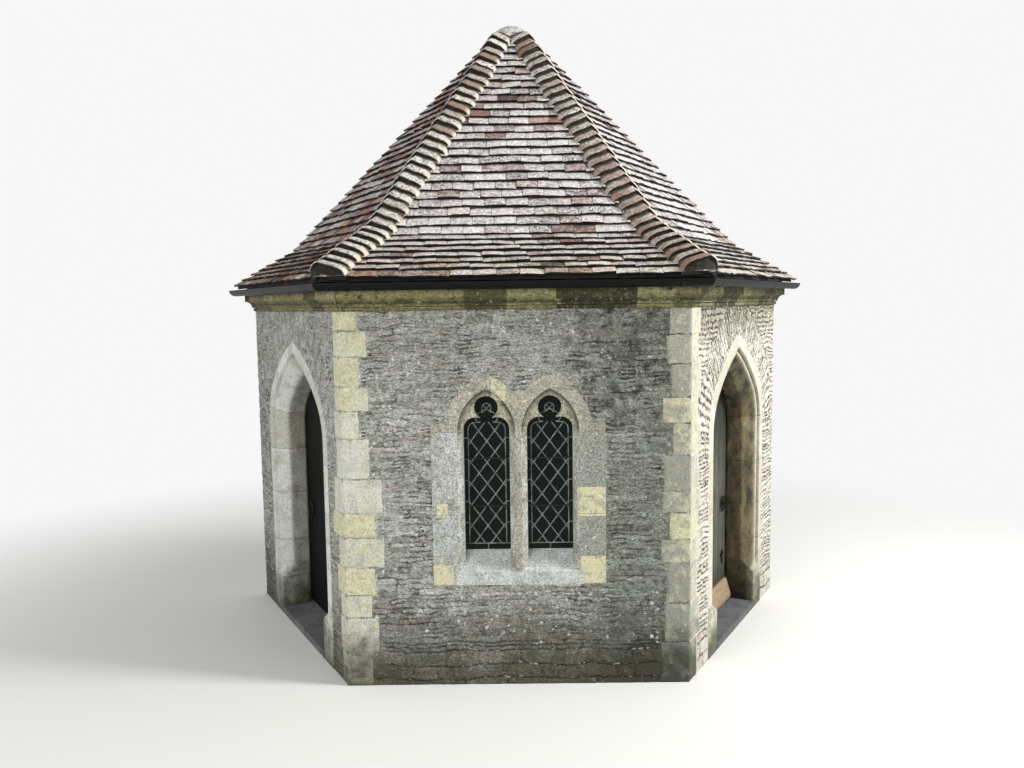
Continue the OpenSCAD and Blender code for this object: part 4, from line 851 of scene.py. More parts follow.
def cornice_stone(name, turn):
    """The cornice's stone for one wall: turn brings the wall's direction onto x, so that the joints between
    its lengths fall across it. The colour follows the moulding's height in stripes of painted light and
    shade, with a wavering edge; stretches of about 0.3 m are darker than others, and crusts and sooty runs
    lie over it."""
    mat, tree, here = material(name)
    level = add(tree, "Mapping", Vector=here, Rotation=(0, 0, turn), Location=(0.31, 0, 0))
    xyz = add(tree, "SeparateXYZ", Vector=level).outputs
    flat = add(tree, "CombineXYZ", X=xyz["X"], Y=xyz["Z"])
    laid = add(tree, "TexBrick", Vector=flat, Color1="#000000", Color2="#ffffff", Mortar="#000000",
               Scale=1.0, Mortar_Size=0.003, Mortar_Smooth=0.3, Brick_Width=0.93, Row_Height=8.0, offset=0.0)
    joints = laid.outputs["Fac"]
    waver = add(tree, "TexNoise", Vector=here, Scale=1 / 0.05, Detail=6, Roughness=0.7)
    height = add(tree, "Math", operation="MULTIPLY_ADD", _0=waver, _1=0.05, _2=xyz["Z"])
    height = add(tree, "MapRange", Value=height, From_Min=2.764, From_Max=2.950)
    # Stripes of painted light and shade by height: pale on the lit top, dark in the hollow and under the
    # gutter
    lit_and_shaded_bands = add(tree, "ValToRGB", Fac=height, stops=("#7d784e", "#aca778", "#3f3c26", "#a6a172", "#c0bb8d",
                                                     "#b3ae80", "#827e54", "#2c2a17"))
    stretch = add(tree, "TexVoronoi", voronoi_dimensions="1D", W=xyz["X"], Scale=1 / 0.30).outputs["Color"]
    stretch = add(tree, "SeparateColor", Color=stretch).outputs
    sooty = add(tree, "Mapping", Vector=here, Scale=(1, 1, 1.8))
    speckled = add(tree, "TexNoise", Vector=here, Scale=1 / 0.014, Detail=8, Roughness=0.8)
    fine = add(tree, "MapRange", Value=speckled, From_Min=0.36, From_Max=0.62)
    fine = add(tree, "ValToRGB", Fac=fine, stops=("#55554c", "#b4b4ae", "#ececea", "#ffffff"))
    colour = coats(
        tree, lit_and_shaded_bands,
        ("#777768", add(tree, "MapRange", Value=stretch["Red"], From_Min=0.45, From_Max=0.62), "MULTIPLY"),
        ("#5f5a48", add(tree, "MapRange", Value=stretch["Green"], From_Min=0.80, From_Max=0.86), "MULTIPLY"),
        ("#c8c4a8", laid, "MULTIPLY"),
        ("#aeaa7a", patches(tree, here, 0.07, 0.56, 0.66, 8, 0.75)),
        ("#3d3b26", patches(tree, sooty, 0.09, 0.52, 0.62, 8, 0.75)),
        (fine, 1.0, "MULTIPLY"),
        ("#b9b698", patches(tree, here, 0.020, 0.60, 0.65, 7, 0.75)),
        ("#36342a", joints))
    grain = add(tree, "TexNoise", Vector=here, Scale=1 / 0.010, Detail=7, Roughness=0.7)
    relief = add(tree, "Math", operation="SUBTRACT", _0=grain, _1=joints)
    finish(tree, colour, relief, 0.6, 0.005, Roughness=0.9, IOR=1.5)
    return mat


for side, degrees in (("front", 0), ("left", 60), ("right", -60)):
    dress(cornice_stone("limestone_cornice_" + side, math.radians(degrees)), side + "_cornice")

# Gutters
# Half-round cast iron in lengths, painted black, with sockets where the lengths meet. The paint is dulled by
# dust and rust has come through along the lower side.
iron_paint, tree, here = material("cast_iron_black_paint")
rust = patches(tree, add(tree, "Mapping", Vector=here, Scale=(1, 1, 2)), 0.05, 0.68, 0.74, 7, 0.7)
colour = coats(tree, "#030404", ("#0a0b0a", patches(tree, here, 0.09, 0.45, 0.72, 6)), ("#4a3022", rust))
grain = add(tree, "TexNoise", Vector=here, Scale=1 / 0.006, Detail=5)
finish(tree, colour, grain, 0.3, 0.002, Roughness=0.5, IOR=1.5, Specular_IOR_Level=0.16)
dress(iron_paint, "front_gutter", "left_gutter", "right_gutter")


def sockets(name, wall, places):
    """Collars round the gutter where lengths meet: half a ring of radius 57 mm about the gutter's middle,
    34 mm long and 3 mm thick, its section closed by inner and outer arcs."""
    gutter_in, gutter_up, socket_long, inner, outer = -0.1484, 2.932, 0.034, 0.0542, 0.0575
    turn, end = np.meshgrid(np.linspace(math.pi, 2 * math.pi, 17), np.array([0, 0, 1, 1, 0]), indexing="ij")
    radius = np.array([[inner, outer, outer, inner, inner]])
    inward, up = gutter_in + radius * np.cos(turn), gutter_up + radius * np.sin(turn)
    quads = grid_faces(*turn.shape)[:, (0, 3, 2, 1)]
    quads = quads[:, ::-1] if wall == LEFT else quads
    rings = [(wall_point(wall, place + socket_long * (end - 0.5), inward, up).reshape(-1, 3), quads)
             for place in places]
    surface(name, *joined(rings), iron_paint)


sockets("front_gutter_sockets", FRONT, [0.10, 2.40])
sockets("right_gutter_sockets", RIGHT, [0.12, 0.42, 1.65])
sockets("left_gutter_sockets", LEFT, [0.12, 1.30])

# Roof timbers
# Oak rafters, hip rafters, plates and the post at the point, sawn and left to darken, with long grain and
# drying splits. The rafters are pegged to the plates on the wall tops.


def oak(name, light, dark, grain):
    """Sawn oak: dark streaks drawn out along the timber, with splits 1.7 times as coarse. grain says how
    many of them go on a metre along x, y and z, the fewest along the timber."""
    mat, tree, here = material(name)
    streaks = add(tree, "Mapping", Vector=here, Scale=grain)
    streaks = add(tree, "TexNoise", Vector=streaks, Scale=1.0, Detail=8, Roughness=0.68)
    splits = add(tree, "Mapping", Vector=here, Scale=[count * 0.6 for count in grain])
    splits = add(tree, "TexNoise", Vector=splits, Scale=1.0, Detail=5, Distortion=0.3)
    colour = coats(tree, light, (dark, add(tree, "MapRange", Value=streaks, From_Min=0.40, From_Max=0.66)),
                   ("#16120d", add(tree, "MapRange", Value=splits, From_Min=0.66, From_Max=0.70)))
    finish(tree, colour, streaks, 0.45, 0.003, Roughness=0.78, IOR=1.5)
    return mat


for node, grain in (("rafters", (90, 14, 14)), ("wall_rafters", (14, 90, 14)), ("hip_rafters", (60, 30, 14)),
                    ("wall_plates", (14, 60, 200)), ("apex_post", (160, 160, 5))):
    dress(oak("oak_sawn_brown_" + node, "#6d563f", "#3c2d20", grain), node)

# Doors
# Oak boards about 130 mm wide with bevelled edges on three ledges, hung on strap hinges. The right one has
# weathered to grey; the left one is dark oiled and painted nearly black for the deep shade it stands in.


def weathered_oak(name, turn, light, mid, dark, roughness):
    """Door oak: across the boards each has its own tone; streaks of grain 1 to 4 mm wide run up them, with
    drying splits and splashed dirt near the foot, and a painted shadow darkens them towards the arch."""
    mat, tree, here = material(name)
    tone = add(tree, "Attribute", attribute_name="tone").outputs["Fac"]
    level = add(tree, "Mapping", Vector=here, Rotation=(0, 0, turn))
    streaks = add(tree, "Mapping", Vector=level, Scale=(140, 60, 5))
    streaks = add(tree, "TexNoise", Vector=streaks, Scale=1.0, Detail=8, Roughness=0.7, Distortion=0.25)
    splits = add(tree, "Mapping", Vector=level, Scale=(95, 40, 2.2))
    splits = add(tree, "TexNoise", Vector=splits, Scale=1.0, Detail=4)
    height = add(tree, "SeparateXYZ", Vector=here).outputs["Z"]
    splash = product(tree, add(tree, "MapRange", Value=height, From_Min=0.55, From_Max=0.08), 0.7)
    colour = coats(
        tree, light,
        (mid, tone),
        (dark, add(tree, "MapRange", Value=streaks, From_Min=0.38, From_Max=0.68)),
        ("#0d0c0a", add(tree, "MapRange", Value=splits, From_Min=0.68, From_Max=0.71)),
        ("#6a5f4a", splash, "MULTIPLY"),
        # Painted shadow: the boards grow nearly black from 1.25 m up towards the arch
        ("#131412", add(tree, "MapRange", Value=height, From_Min=1.25, From_Max=1.95, To_Max=0.85)))
    finish(tree, colour, streaks, 0.5, 0.002, Roughness=roughness, IOR=1.5, Specular_IOR_Level=0.15)
    return mat


def arch_top(across, wall, inset):
    """Height of the doorway's arched outline at a place across, drawn in by inset: the circle of the upper
    arc, or past the haunch's end that of the haunch."""
    turn, centre, upper_x, upper_y, radius = arch_shape(wall)
    x = np.abs(across)
    upper = upper_y + np.sqrt(np.maximum((radius - inset) ** 2 - (x - upper_x) ** 2, 0))
    haunch = np.sqrt(np.maximum((HAUNCH - inset) ** 2 - (x - centre) ** 2, 0))
    return DOOR_SPRING + np.where(x > centre + (HAUNCH - inset) * math.cos(turn), haunch, upper)


def prisms(loops, low, high):
    """Closed bars between two heights: each loop of eight points is carried up 6 rows from low to high
    (which may differ at each point), and its two ends are closed by three quads each."""
    rows = 6
    share = np.linspace(0, 1, rows)[None, :, None]
    z = low[:, None] + (high - low)[:, None] * share
    points = np.concatenate([np.repeat(loops[:, None], rows, 1), z[..., None]], -1)
    k = np.arange(rows * 8).reshape(rows, 8)
    ring = np.roll(k, -1, 1)
    quads = np.stack([k[:-1], ring[:-1], ring[1:], k[1:]], -1).reshape(-1, 4)
    ends = np.array([[0, 7, 6, 1], [1, 6, 5, 2], [2, 5, 4, 3]])
    quads = np.concatenate([quads, ends, (ends + (rows - 1) * 8)[:, ::-1]])
    first = rows * 8 * np.arange(len(loops))[:, None, None]
    return points.reshape(-1, 3), (quads[None] + first).reshape(-1, 4)


def door(name, node, wall, body, mat, seed):
    """Boards side by side, each an eight-sided bar with 4.5 mm bevels, cut to the arch at its top, and three
    ledges across their backs, 130 mm high with their upper and lower edges eased."""
    bevel, front, back, boards, foot, inset = 0.0045, 0.2652, 0.3098, 9, 0.080, 0.0775
    ledges, ledge_h = DOOR_SPRING * np.array([0.12, 0.5, 0.86]), 0.130
    leaf = DOOR_HALF[wall] - 0.105 + 0.028
    rng = np.random.default_rng(seed)
    cuts = np.linspace(-leaf, leaf, boards + 1)
    cuts[1:-1] += rng.uniform(-0.012, 0.012, boards - 1)
    left, right = cuts[:-1, None] + 0.0006, cuts[1:, None] - 0.0006
    across = np.concatenate([left, left + bevel, right - bevel, right,
                             right, right - bevel, left + bevel, left], 1)
    deep = np.array([front + bevel, front, front, front + bevel, back - bevel, back, back, back - bevel])
    loops = np.stack([across, np.broadcast_to(deep, across.shape)], -1)
    parts = [prisms(loops, np.full(across.shape, foot), arch_top(across, wall, inset))]
    tones = [np.repeat(rng.uniform(0, 1, boards), 48)]
    end = leaf - 0.055
    x = np.array([-end, -end + 0.006, end - 0.006, end, end, end - 0.006, -end + 0.006, -end])
    y = np.array([0.3100, 0.3100, 0.3100, 0.3100, 0.3320, 0.3378, 0.3378, 0.3320])
    for i, z in enumerate(ledges):
        parts.append(prisms(np.stack([x, y], -1)[None], np.full((1, 8), z), np.full((1, 8), z + ledge_h)))
        tones.append(np.full(48, 0.3 + 0.2 * i))
    points, quads = joined(parts)
    points = wall_point(wall, DOOR_MIDDLE[wall] + points[:, 0], points[:, 1], points[:, 2])
    obj = surface(name, points, quads[:, ::-1] if wall == LEFT else quads, mat, body=body, smooth=False,
                  tone=np.concatenate(tones))
    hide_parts(node)


# The left door's boards: dark oil, and painted nearly black for the deep shade they stand in
door("left_door_boards", "left_door", LEFT, "left_leaf",
     weathered_oak("oak_boards_dark_oiled", math.radians(60), "#070707", "#040505", "#020202", 0.8),
     61)
door("right_door_boards", "right_door", RIGHT, "right_leaf",
     weathered_oak("oak_boards_weathered_grey", math.radians(-60), "#6f6e66", "#504f49", "#24231e", 0.85),
     62)

# Weatherboard
# The sloping board at the foot of the right door, which throws rain off: newer softwood, planed and tan,
# with open grain along it and a grey bloom where it weathers.
tan_wood, tree, here = material("softwood_weatherboard_tan")
level = add(tree, "Mapping", Vector=here, Rotation=(0, 0, math.radians(-60)))
streaks = add(tree, "Mapping", Vector=level, Scale=(5, 90, 120))
streaks = add(tree, "TexNoise", Vector=streaks, Scale=1.0, Detail=8, Roughness=0.66)
colour = coats(tree, "#a58d6e",
               ("#6e5942", add(tree, "MapRange", Value=streaks, From_Min=0.42, From_Max=0.68)),
               ("#8d8578", patches(tree, here, 0.08, 0.50, 0.66, 6)))
finish(tree, colour, streaks, 0.4, 0.002, Roughness=0.7, IOR=1.5)
dress(tan_wood, "weatherboard")

# Ironwork
# Hinges, hooks, ring handles and the catch: wrought iron, black and hammered into shallow dents, with a
# little rust in the hollows.
wrought, tree, here = material("wrought_iron_black_hammered")
colour = coats(tree, "#1b1b1c", ("#3d2a20", patches(tree, here, 0.02, 0.56, 0.70, 6)))
dents = add(tree, "TexVoronoi", Vector=here, Scale=1 / 0.012, feature="SMOOTH_F1")
finish(tree, colour, dents, 0.35, 0.002, Metallic=0.75, Roughness=0.55)
dress(wrought, "left_ironwork", "right_ironwork", "hinge_hooks")

# Tiles of the three slopes
# Hand-made plain clay tiles, 160 mm wide and 13 mm thick, hung in courses with broken joints: 95 mm of each
# shows on the slope and 82 mm on the flatter foot. Nearly all are crusted white and grey with lichen; the
# red and brown clay shows where it has let go, and a painted shade sits dark on the tails and sides and
# under every tail.

# The roof's upper line, as it follows the CAD: a share t is 0 at the apex and 1 over the wall's face, which
# lies the level distance RUN away. The slope turns flatter at the kick and ends at the eaves.
RUN = {FRONT: 2.07846, LEFT: 2.1218, RIGHT: 2.1218}
EAVES_T, KICK_T = 1.06255, 0.84123
APEX_Z, KICK_Z, EAVES_Z = 5.3607, 3.277, 2.985

# A slope's edges, as distances across it for each metre of level run: the hip on the front slope and on a
# side slope, and the verge at the back
HIP_FRONT, HIP_SIDE, VERGE = 0.60141, 0.55380, 0.57735

# A tile's width, the gauge of the courses on the slope, and the flatter foot's courses, the lowest of which
# hangs over the gutter
TILE_W, GAUGE, FOOT_COURSES, OVERHANG = 0.163, 0.0952, 7, 0.032


def roof_height(t):
    """Height of the roof's upper line at a share t of the way from the apex to the wall: straight from the
    apex to the kick, then flatter to the eaves."""
    slope = APEX_Z + (KICK_Z - APEX_Z) * t / KICK_T
    foot = KICK_Z + (EAVES_Z - KICK_Z) * (t - KICK_T) / (EAVES_T - KICK_T)
    return np.where(t < KICK_T, slope, foot)


def slope_point(wall, t, across, lift):
    """A place on the slope over a wall: t from the apex to the wall, across along the courses, lifted square
    to the slope. The front slope faces -y; a side slope is turned by 60 degrees, across running back."""
    run = RUN[wall]
    fall = np.where(t < KICK_T, (APEX_Z - KICK_Z) / (KICK_T * run),
                    (KICK_Z - EAVES_Z) / ((EAVES_T - KICK_T) * run))
    level = 1 / np.hypot(1, fall)
    out, z = t * run + lift * fall * level, roof_height(t) + lift * level
    if wall == FRONT:
        return np.stack([across, BACK_Y - out, z], -1)
    return np.stack([wall * (out * SIN_60 + across * 0.5), BACK_Y - out * 0.5 + across * SIN_60, z], -1)


def course_marks(run):
    """The tails of the courses as shares t from the eaves up, each course's gauge in metres and the share t
    to a metre of slope: 7 of 82 mm on the foot, the lowest 32 mm over the gutter, then 95 mm each."""
    foot = math.hypot((EAVES_T - KICK_T) * run, KICK_Z - EAVES_Z)
    slope = math.hypot(KICK_T * run, APEX_Z - KICK_Z)
    low, high = (EAVES_T - KICK_T) / foot, KICK_T / slope
    gauge = (foot + OVERHANG) / FOOT_COURSES
    marks = np.concatenate([EAVES_T + (OVERHANG - np.arange(FOOT_COURSES) * gauge) * low,
                            KICK_T - np.arange(0, 26.5) * GAUGE * high])
    on_foot = np.arange(len(marks)) < FOOT_COURSES
    return marks, np.where(on_foot, gauge, GAUGE), np.where(on_foot, low, high)


# Burnt clay under crusts of lichen in two pale greys, thin enough in places for the clay to show; flecks of
# soot by the attribute soot, yellow-green on the lowest courses, painted shade by the attribute under
clay, tree, here = material("clay_tile_lichen_crusted")
tone, crust, soot, under = [add(tree, "Attribute", attribute_name=name).outputs["Fac"]
                            for name in ("tone", "crust", "soot", "under")]
bare = add(tree, "ValToRGB", Fac=tone,
           stops=("#4a3a34", "#6b4c42", "#8d5c48", "#74544a", "#9c6c54", "#a87c68"))
bare = coats(tree, bare, ("#3a2a24", patches(tree, here, 0.06, 0.52, 0.70, 6)))
pale = coats(
    tree, "#a09b99",
    ("#d2cecc", patches(tree, here, 0.026, 0.40, 0.55, 8, 0.8)),
    ("#f4f2f0", patches(tree, here, 0.020, 0.50, 0.58, 8, 0.8)),
    (bare, 0.08))
cover = product(tree, crust, patches(tree, here, 0.035, 0.30, 0.60, 8, 0.8))
height = add(tree, "SeparateXYZ", Vector=here).outputs["Z"]
foot = product(tree, add(tree, "MapRange", Value=height, From_Min=3.30, From_Max=3.02, To_Max=0.8),
               patches(tree, here, 0.10, 0.42, 0.62, 8, 0.8))
colour = coats(
    tree, bare,
    (pale, add(tree, "MapRange", Value=cover, From_Min=0.14, From_Max=0.48)),
    ("#24201e", product(tree, patches(tree, here, 0.022, 0.46, 0.58, 8, 0.8), soot)),
    ("#d3cb8e", foot, "MULTIPLY"),
    # Painted shade on the tails, the sides and under the next course
    ("#0f0b09", under))
grain = add(tree, "TexNoise", Vector=here, Scale=1 / 0.007, Detail=7, Roughness=0.7)
finish(tree, colour, grain, 0.5, 0.004, Roughness=0.9, IOR=1.5)


def hang_tiles(name, wall, cover, seed):
    """One slope's tiles. Each is a grid of 7 by 5 points: a tail face 13 mm high, a cambered back that falls
    by 20 mm over one course, and two side faces. Its width, slip, lift and twist vary from tile to tile,
    whole courses waver, and its sides are cut to the hip or the verge."""
    rng = np.random.default_rng(seed)
    marks, gauges, steps = course_marks(RUN[wall])
    left = -HIP_FRONT if wall == FRONT else -HIP_SIDE
    right = HIP_FRONT if wall == FRONT else VERGE
    courses, centres, widths = [], [], []
    for i, mark in enumerate(marks):
        run = mark * RUN[wall]
        width = TILE_W + rng.normal(0, 0.0022, int(run * (right - left) / TILE_W) + 3)
        start = run * left - TILE_W * rng.uniform(0.3, 0.7) + TILE_W / 2 * (i % 2)
        x = start + np.concatenate([[0], np.cumsum(width)[:-1]]) + width / 2
        keep = (x + width / 2 > run * left + 0.02) & (x - width / 2 < run * right - 0.02)
        courses.append(np.full(keep.sum(), i))
        centres.append(x[keep])
        widths.append(width[keep])
    course, x, width = np.concatenate(courses), np.concatenate(centres), np.concatenate(widths)
    count, mark = len(course), marks[course]

    def each(values):
        """One value for each tile, the same at all its points."""
        return values[:, None, None]

    def varied(spread):
        """A normally spread random value for each tile."""
        return each(rng.normal(0, spread, count))

    u = np.array([-1, -1, -0.5, 0, 0.5, 1, 1])[None, :, None]
    side = np.array([1, 0, 0, 0, 0, 0, 1])[None, :, None]
    v = np.array([0.0, 0.0, 0.05, 0.80, 1.35])[None, None, :]
    low = np.array([1, 0, 0, 0, 0])[None, None, :]
    sag = rng.normal(0, 0.003, (count, 7, 1)) * np.array([1, 1, 0.4, 0.2, 0.4, 1, 1])[None, :, None]
    up = v * each(gauges[course])
    up = np.where(v < 1, up + varied(0.0032) + 0.008 * varied(0.5) * u + sag * (v < 0.1), up)
    up = up - (v < 1) * 0.007 * each(noise(x, mark * 9, 0.35, seed + 13))
    up = np.where(np.abs(u) + (v < 0.02) > 1.9, up + 0.004 * np.abs(varied(1.0)), up)
    t = each(mark) - up * each(steps[course])
    lift = 0.0265 - 0.0195 * v - 0.0030 * u ** 2 + varied(0.0018) + 0.0020 * varied(1.0) * u
    lift = lift - 0.0135 * np.clip(low + side, 0, 1) + 0.0010 * (v == 0.05)
    lift = lift - 0.012 * each(course == 0) * (v < 0.1)
    run = t * RUN[wall]
    across = np.clip(each(x) + (each(width) / 2 - 0.0018) * u, run * left + 0.01, run * right - 0.002)
    points = slope_point(wall, t, across, lift)
    points[..., 1] = np.minimum(points[..., 1], BACK_Y - 0.001)
    faces = (grid_faces(7, 5, wall == LEFT)[None] + 35 * each(np.arange(count))).reshape(-1, 4)
    worn = np.clip(0.35 * noise(x, mark * 2, 0.5, seed + 5) + rng.normal(cover, 0.22, count), 0.20, 1.4)
    sooty = rng.normal(0.45, 0.30, count) + 0.3 * noise(x, mark * 2, 0.4, seed + 9)
    # Where painted shade darkens a tile: its tail face, its sides and the part under the next tail
    painted_shade = low + 0.9 * (v == 0) * (up < 0.02) + 0.85 * side + 2.0 * (v > 0.9)
    values = {"tone": each(rng.uniform(0, 1, count)), "crust": each(worn), "under": painted_shade,
              "soot": each(np.clip(sooty, 0, 1))}
    values = {key: np.broadcast_to(value, (count, 7, 5)) for key, value in values.items()}
    surface(name, points, faces, clay, smooth=False, **values)


hang_tiles("front_slope_tiles", FRONT, 0.72, 3)
# The left slope, turned from the sun, has a thinner crust so darker clay shows: a painted shade
hang_tiles("left_slope_tiles", LEFT, 0.28, 4)
hang_tiles("right_slope_tiles", RIGHT, 0.80, 5)

# Boarding below the tiles
# Softwood boards, sawn and gone brown, each in its own tone, with gaps where they have shrunk. A board takes
# 115 mm of height on the slope. Their ends at the eaves are painted dark with the shade under the tiles.
boarding, tree, here = material("softwood_boarding_sawn_aged")
height = add(tree, "SeparateXYZ", Vector=here).outputs["Z"]
boards = add(tree, "Math", operation="MULTIPLY", _0=height, _1=1 / 0.115)
board = add(tree, "TexWhiteNoise", noise_dimensions="1D", W=add(tree, "Math", operation="FLOOR", _0=boards))
up_board = add(tree, "Math", operation="FRACT", _0=boards)
streaks = add(tree, "Mapping", Vector=here, Scale=(3, 3, 60))
streaks = add(tree, "TexNoise", Vector=streaks, Scale=1.0, Detail=8, Roughness=0.7)
colour = coats(
    tree, add(tree, "ValToRGB", Fac=board, stops=("#5a4532", "#6b5440", "#4b3a2b")),
    ("#2e231a", add(tree, "MapRange", Value=streaks, From_Min=0.5, From_Max=0.75)),
    ("#120d09", add(tree, "MapRange", Value=up_board, From_Min=0.035, From_Max=0.0)),
    # Painted shade under the tiles darkens the boards' ends at the eaves
    ("#14110e", add(tree, "MapRange", Value=height, From_Min=3.02, From_Max=3.00)))
finish(tree, colour, streaks, 0.35, 0.003, Roughness=0.85, IOR=1.5)
dress(boarding, "front_tiles", "left_tiles", "right_tiles")

# Bonnet tiles of the hips
# One curved clay bonnet to every course, bedded in lime mortar that shows under its mouth. The bonnets are
# as crusted as the tiles, brown where the next one covers them, and painted dark with shade there, on their
# lips and along their sides.

# A bonnet's reach on the side slope and how much further it goes on the front slope, how high it arches at
# the hip, its thickness, and how far its mouth stands forward at the top
BONNET_W, BONNET_MORE, BONNET_H, BONNET_THICK, MOUTH = 0.150, 0.038, 0.104, 0.016, 0.020

# Their clay: a cream crust of lichen on the lower half, browner on the right hip, and paled by painted
# sunlight where a side faces the sun; olive-brown and painted dark with shade under the next one, by the
# attribute place
bonnet_clay, tree, here = material("clay_bonnet_cream_crusted")
place, tone = [add(tree, "Attribute", attribute_name=name).outputs["Fac"] for name in ("place", "tone")]
worn = add(tree, "TexNoise", Vector=here, Scale=1 / 0.035, Detail=7, Roughness=0.7)
# Under the next bonnet, on the lips and at the sides: brown clay darkened with painted shade
brown_and_shaded = add(tree, "Math", operation="MULTIPLY_ADD", _0=worn, _1=-0.7, _2=place)
brown_and_shaded = add(tree, "MapRange", Value=brown_and_shaded, From_Min=0.06, From_Max=0.34)
x = add(tree, "SeparateXYZ", Vector=here).outputs["X"]
browned = product(tree, add(tree, "MapRange", Value=x, From_Min=0.1, From_Max=0.5, To_Max=0.75),
                  patches(tree, here, 0.12, 0.38, 0.58, 6, 0.7))
facing = add(tree, "SeparateXYZ", Vector=add(tree, "TexCoord").outputs["Normal"]).outputs["X"]
colour = coats(
    tree, add(tree, "ValToRGB", Fac=tone, stops=("#8c6656", "#b9b3aa", "#d6d2cb", "#c6c1b8", "#e8e6e0")),
    ("#666056", patches(tree, here, 0.022, 0.47, 0.58, 8, 0.8)),
    ("#8a6a5a", browned),
    # Painted sunlight pales the sides that face +x, towards the sun
    ("#cfc7b3", add(tree, "MapRange", Value=facing, From_Min=0.50, From_Max=0.75)),
    ("#7a5a4a", patches(tree, here, 0.05, 0.60, 0.66, 7, 0.7)),
    (coats(tree, "#584e40", ("#2f281e", patches(tree, here, 0.03, 0.40, 0.60, 8, 0.75))), brown_and_shaded))
grain = add(tree, "TexNoise", Vector=here, Scale=1 / 0.008, Detail=7, Roughness=0.7)
finish(tree, colour, grain, 0.5, 0.004, Roughness=0.9, IOR=1.5)

# The mortar in their mouths: painted nearly black for the shade under each lip, with olive moss in it
mouth_mortar, tree, here = material("lime_mortar_blackened")
colour = coats(tree, "#16130d", ("#3d3728", patches(tree, here, 0.03, 0.50, 0.66, 8, 0.75)))
grain = add(tree, "TexNoise", Vector=here, Scale=1 / 0.007, Detail=7, Roughness=0.7)
finish(tree, colour, grain, 0.7, 0.006, Roughness=0.95, IOR=1.5)


def hip_point(wall, t, along, lift):
    """A place near a hip: along is the distance from the hip line along the course, below 0 on the front
    slope and above 0 on the side slope. The corner of the course is rounded off by moving it towards the
    apex, and lift is straight up."""
    x = t * FRONT_W / 2 + np.where(along > 0, along * 0.5, along)
    y = -t * RUN[FRONT] + np.where(along > 0, along * SIN_60, 0)
    inset = 0.026 * np.exp(-(along / 0.045) ** 2)
    x, y = x - inset * 0.515, y + inset * 0.857
    share = np.maximum(-y / RUN[FRONT], (x * SIN_60 - y * 0.5) / RUN[RIGHT])
    return np.stack([wall * x, np.minimum(BACK_Y + y, BACK_Y - 0.001), roof_height(share) + lift], -1)


def bonnets(name, seed):
    """Bonnets on both hips. Each is a grid of 15 by 6 points: an arch over the hip that is highest on its
    line, with a lip 16 mm thick, falling by its thickness and more towards its head under the next. The
    second grid of 15 by 3 points under each lip is the mortar that fills its mouth."""
    rng = np.random.default_rng(seed)
    marks, gauges, steps = course_marks(RUN[FRONT])
    u = np.array([-1, -1, -0.9, -0.76, -0.6, -0.4, -0.2, 0, 0.2, 0.4, 0.6, 0.76, 0.9, 1, 1])[:, None]
    v = np.array([0.0, 0.0, 0.05, 0.45, 0.9, 1.5])[None]
    bed = np.array([[0.0, 0.6, 1.0]])
    low, side = (np.arange(6) == 0)[None] * 1.0, (np.arange(15) % 14 == 0)[:, None] * 1.0
    wide = BONNET_W + BONNET_MORE * (u < 0)
    arch = np.sqrt(np.clip(1 - np.abs(u) ** 2.4, 0, 1))
    tiles, beds, tones, places = [], [], [], []
    for wall in (LEFT, RIGHT):
        for mark, gauge, step in zip(marks[marks > 0.13], gauges, steps):
            reach = wide * (1 + 0.04 * rng.uniform(-1, 1)) * min(1, 0.72 + mark)
            high = BONNET_H + rng.normal(0, 0.004)
            lip = BONNET_THICK + (high + 0.004 * rng.normal()) * arch
            lift = lip - v * (0.010 + 0.044 * arch) - BONNET_THICK * low - 0.02 * side
            t = mark - (v * gauge - MOUTH * arch * (v < 0.1) + rng.normal(0, 0.002)) * step
            along = u * reach * (1 - 0.08 * v) + rng.normal(0, 0.003)
            tiles.append((hip_point(wall, t, along, lift).reshape(-1, 3), grid_faces(15, 6, wall == LEFT)))
            t = mark - (0.018 * bed - MOUTH * arch * bed) * step
            lift = lip * bed - BONNET_THICK * bed - 0.012 * (1 - bed)
            filled = hip_point(wall, t, along[:, :1] + 0 * bed, lift)
            beds.append((filled.reshape(-1, 3), grid_faces(15, 3, wall == LEFT)))
            tones.append(np.full(90, rng.uniform(0, 1)))
            # place grows towards the head and on lips and sides, where brown clay and painted shade go
            places.append((v + 0.9 * low + 1.2 * side).ravel())
    obj = surface(name, *joined(tiles), bonnet_clay, tone=np.concatenate(tones),
                  place=np.concatenate(places))
    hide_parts("hip_tiles")
    surface(name + "_mortar", *joined(beds), mouth_mortar)


bonnets("hip_bonnets", 17)

# Cap at the point
# Lime mortar with coarse sand, heaped over the heads of the bonnets by hand: dull, grey-buff, gritty, and
# blackened where water stands.
lime_mortar, tree, here = material("lime_mortar_coarse_sand")
colour = coats(
    tree, "#bbb9b2",
    ("#8b887e", patches(tree, here, 0.05, 0.42, 0.62, 8, 0.75)),
    ("#d9d8d2", patches(tree, here, 0.03, 0.52, 0.62, 7, 0.7)),
    ("#3c3a34", patches(tree, here, 0.02, 0.60, 0.70, 6, 0.7)))
grain = add(tree, "TexNoise", Vector=here, Scale=1 / 0.006, Detail=7, Roughness=0.7)
finish(tree, colour, grain, 0.7, 0.006, Roughness=0.95, IOR=1.5)


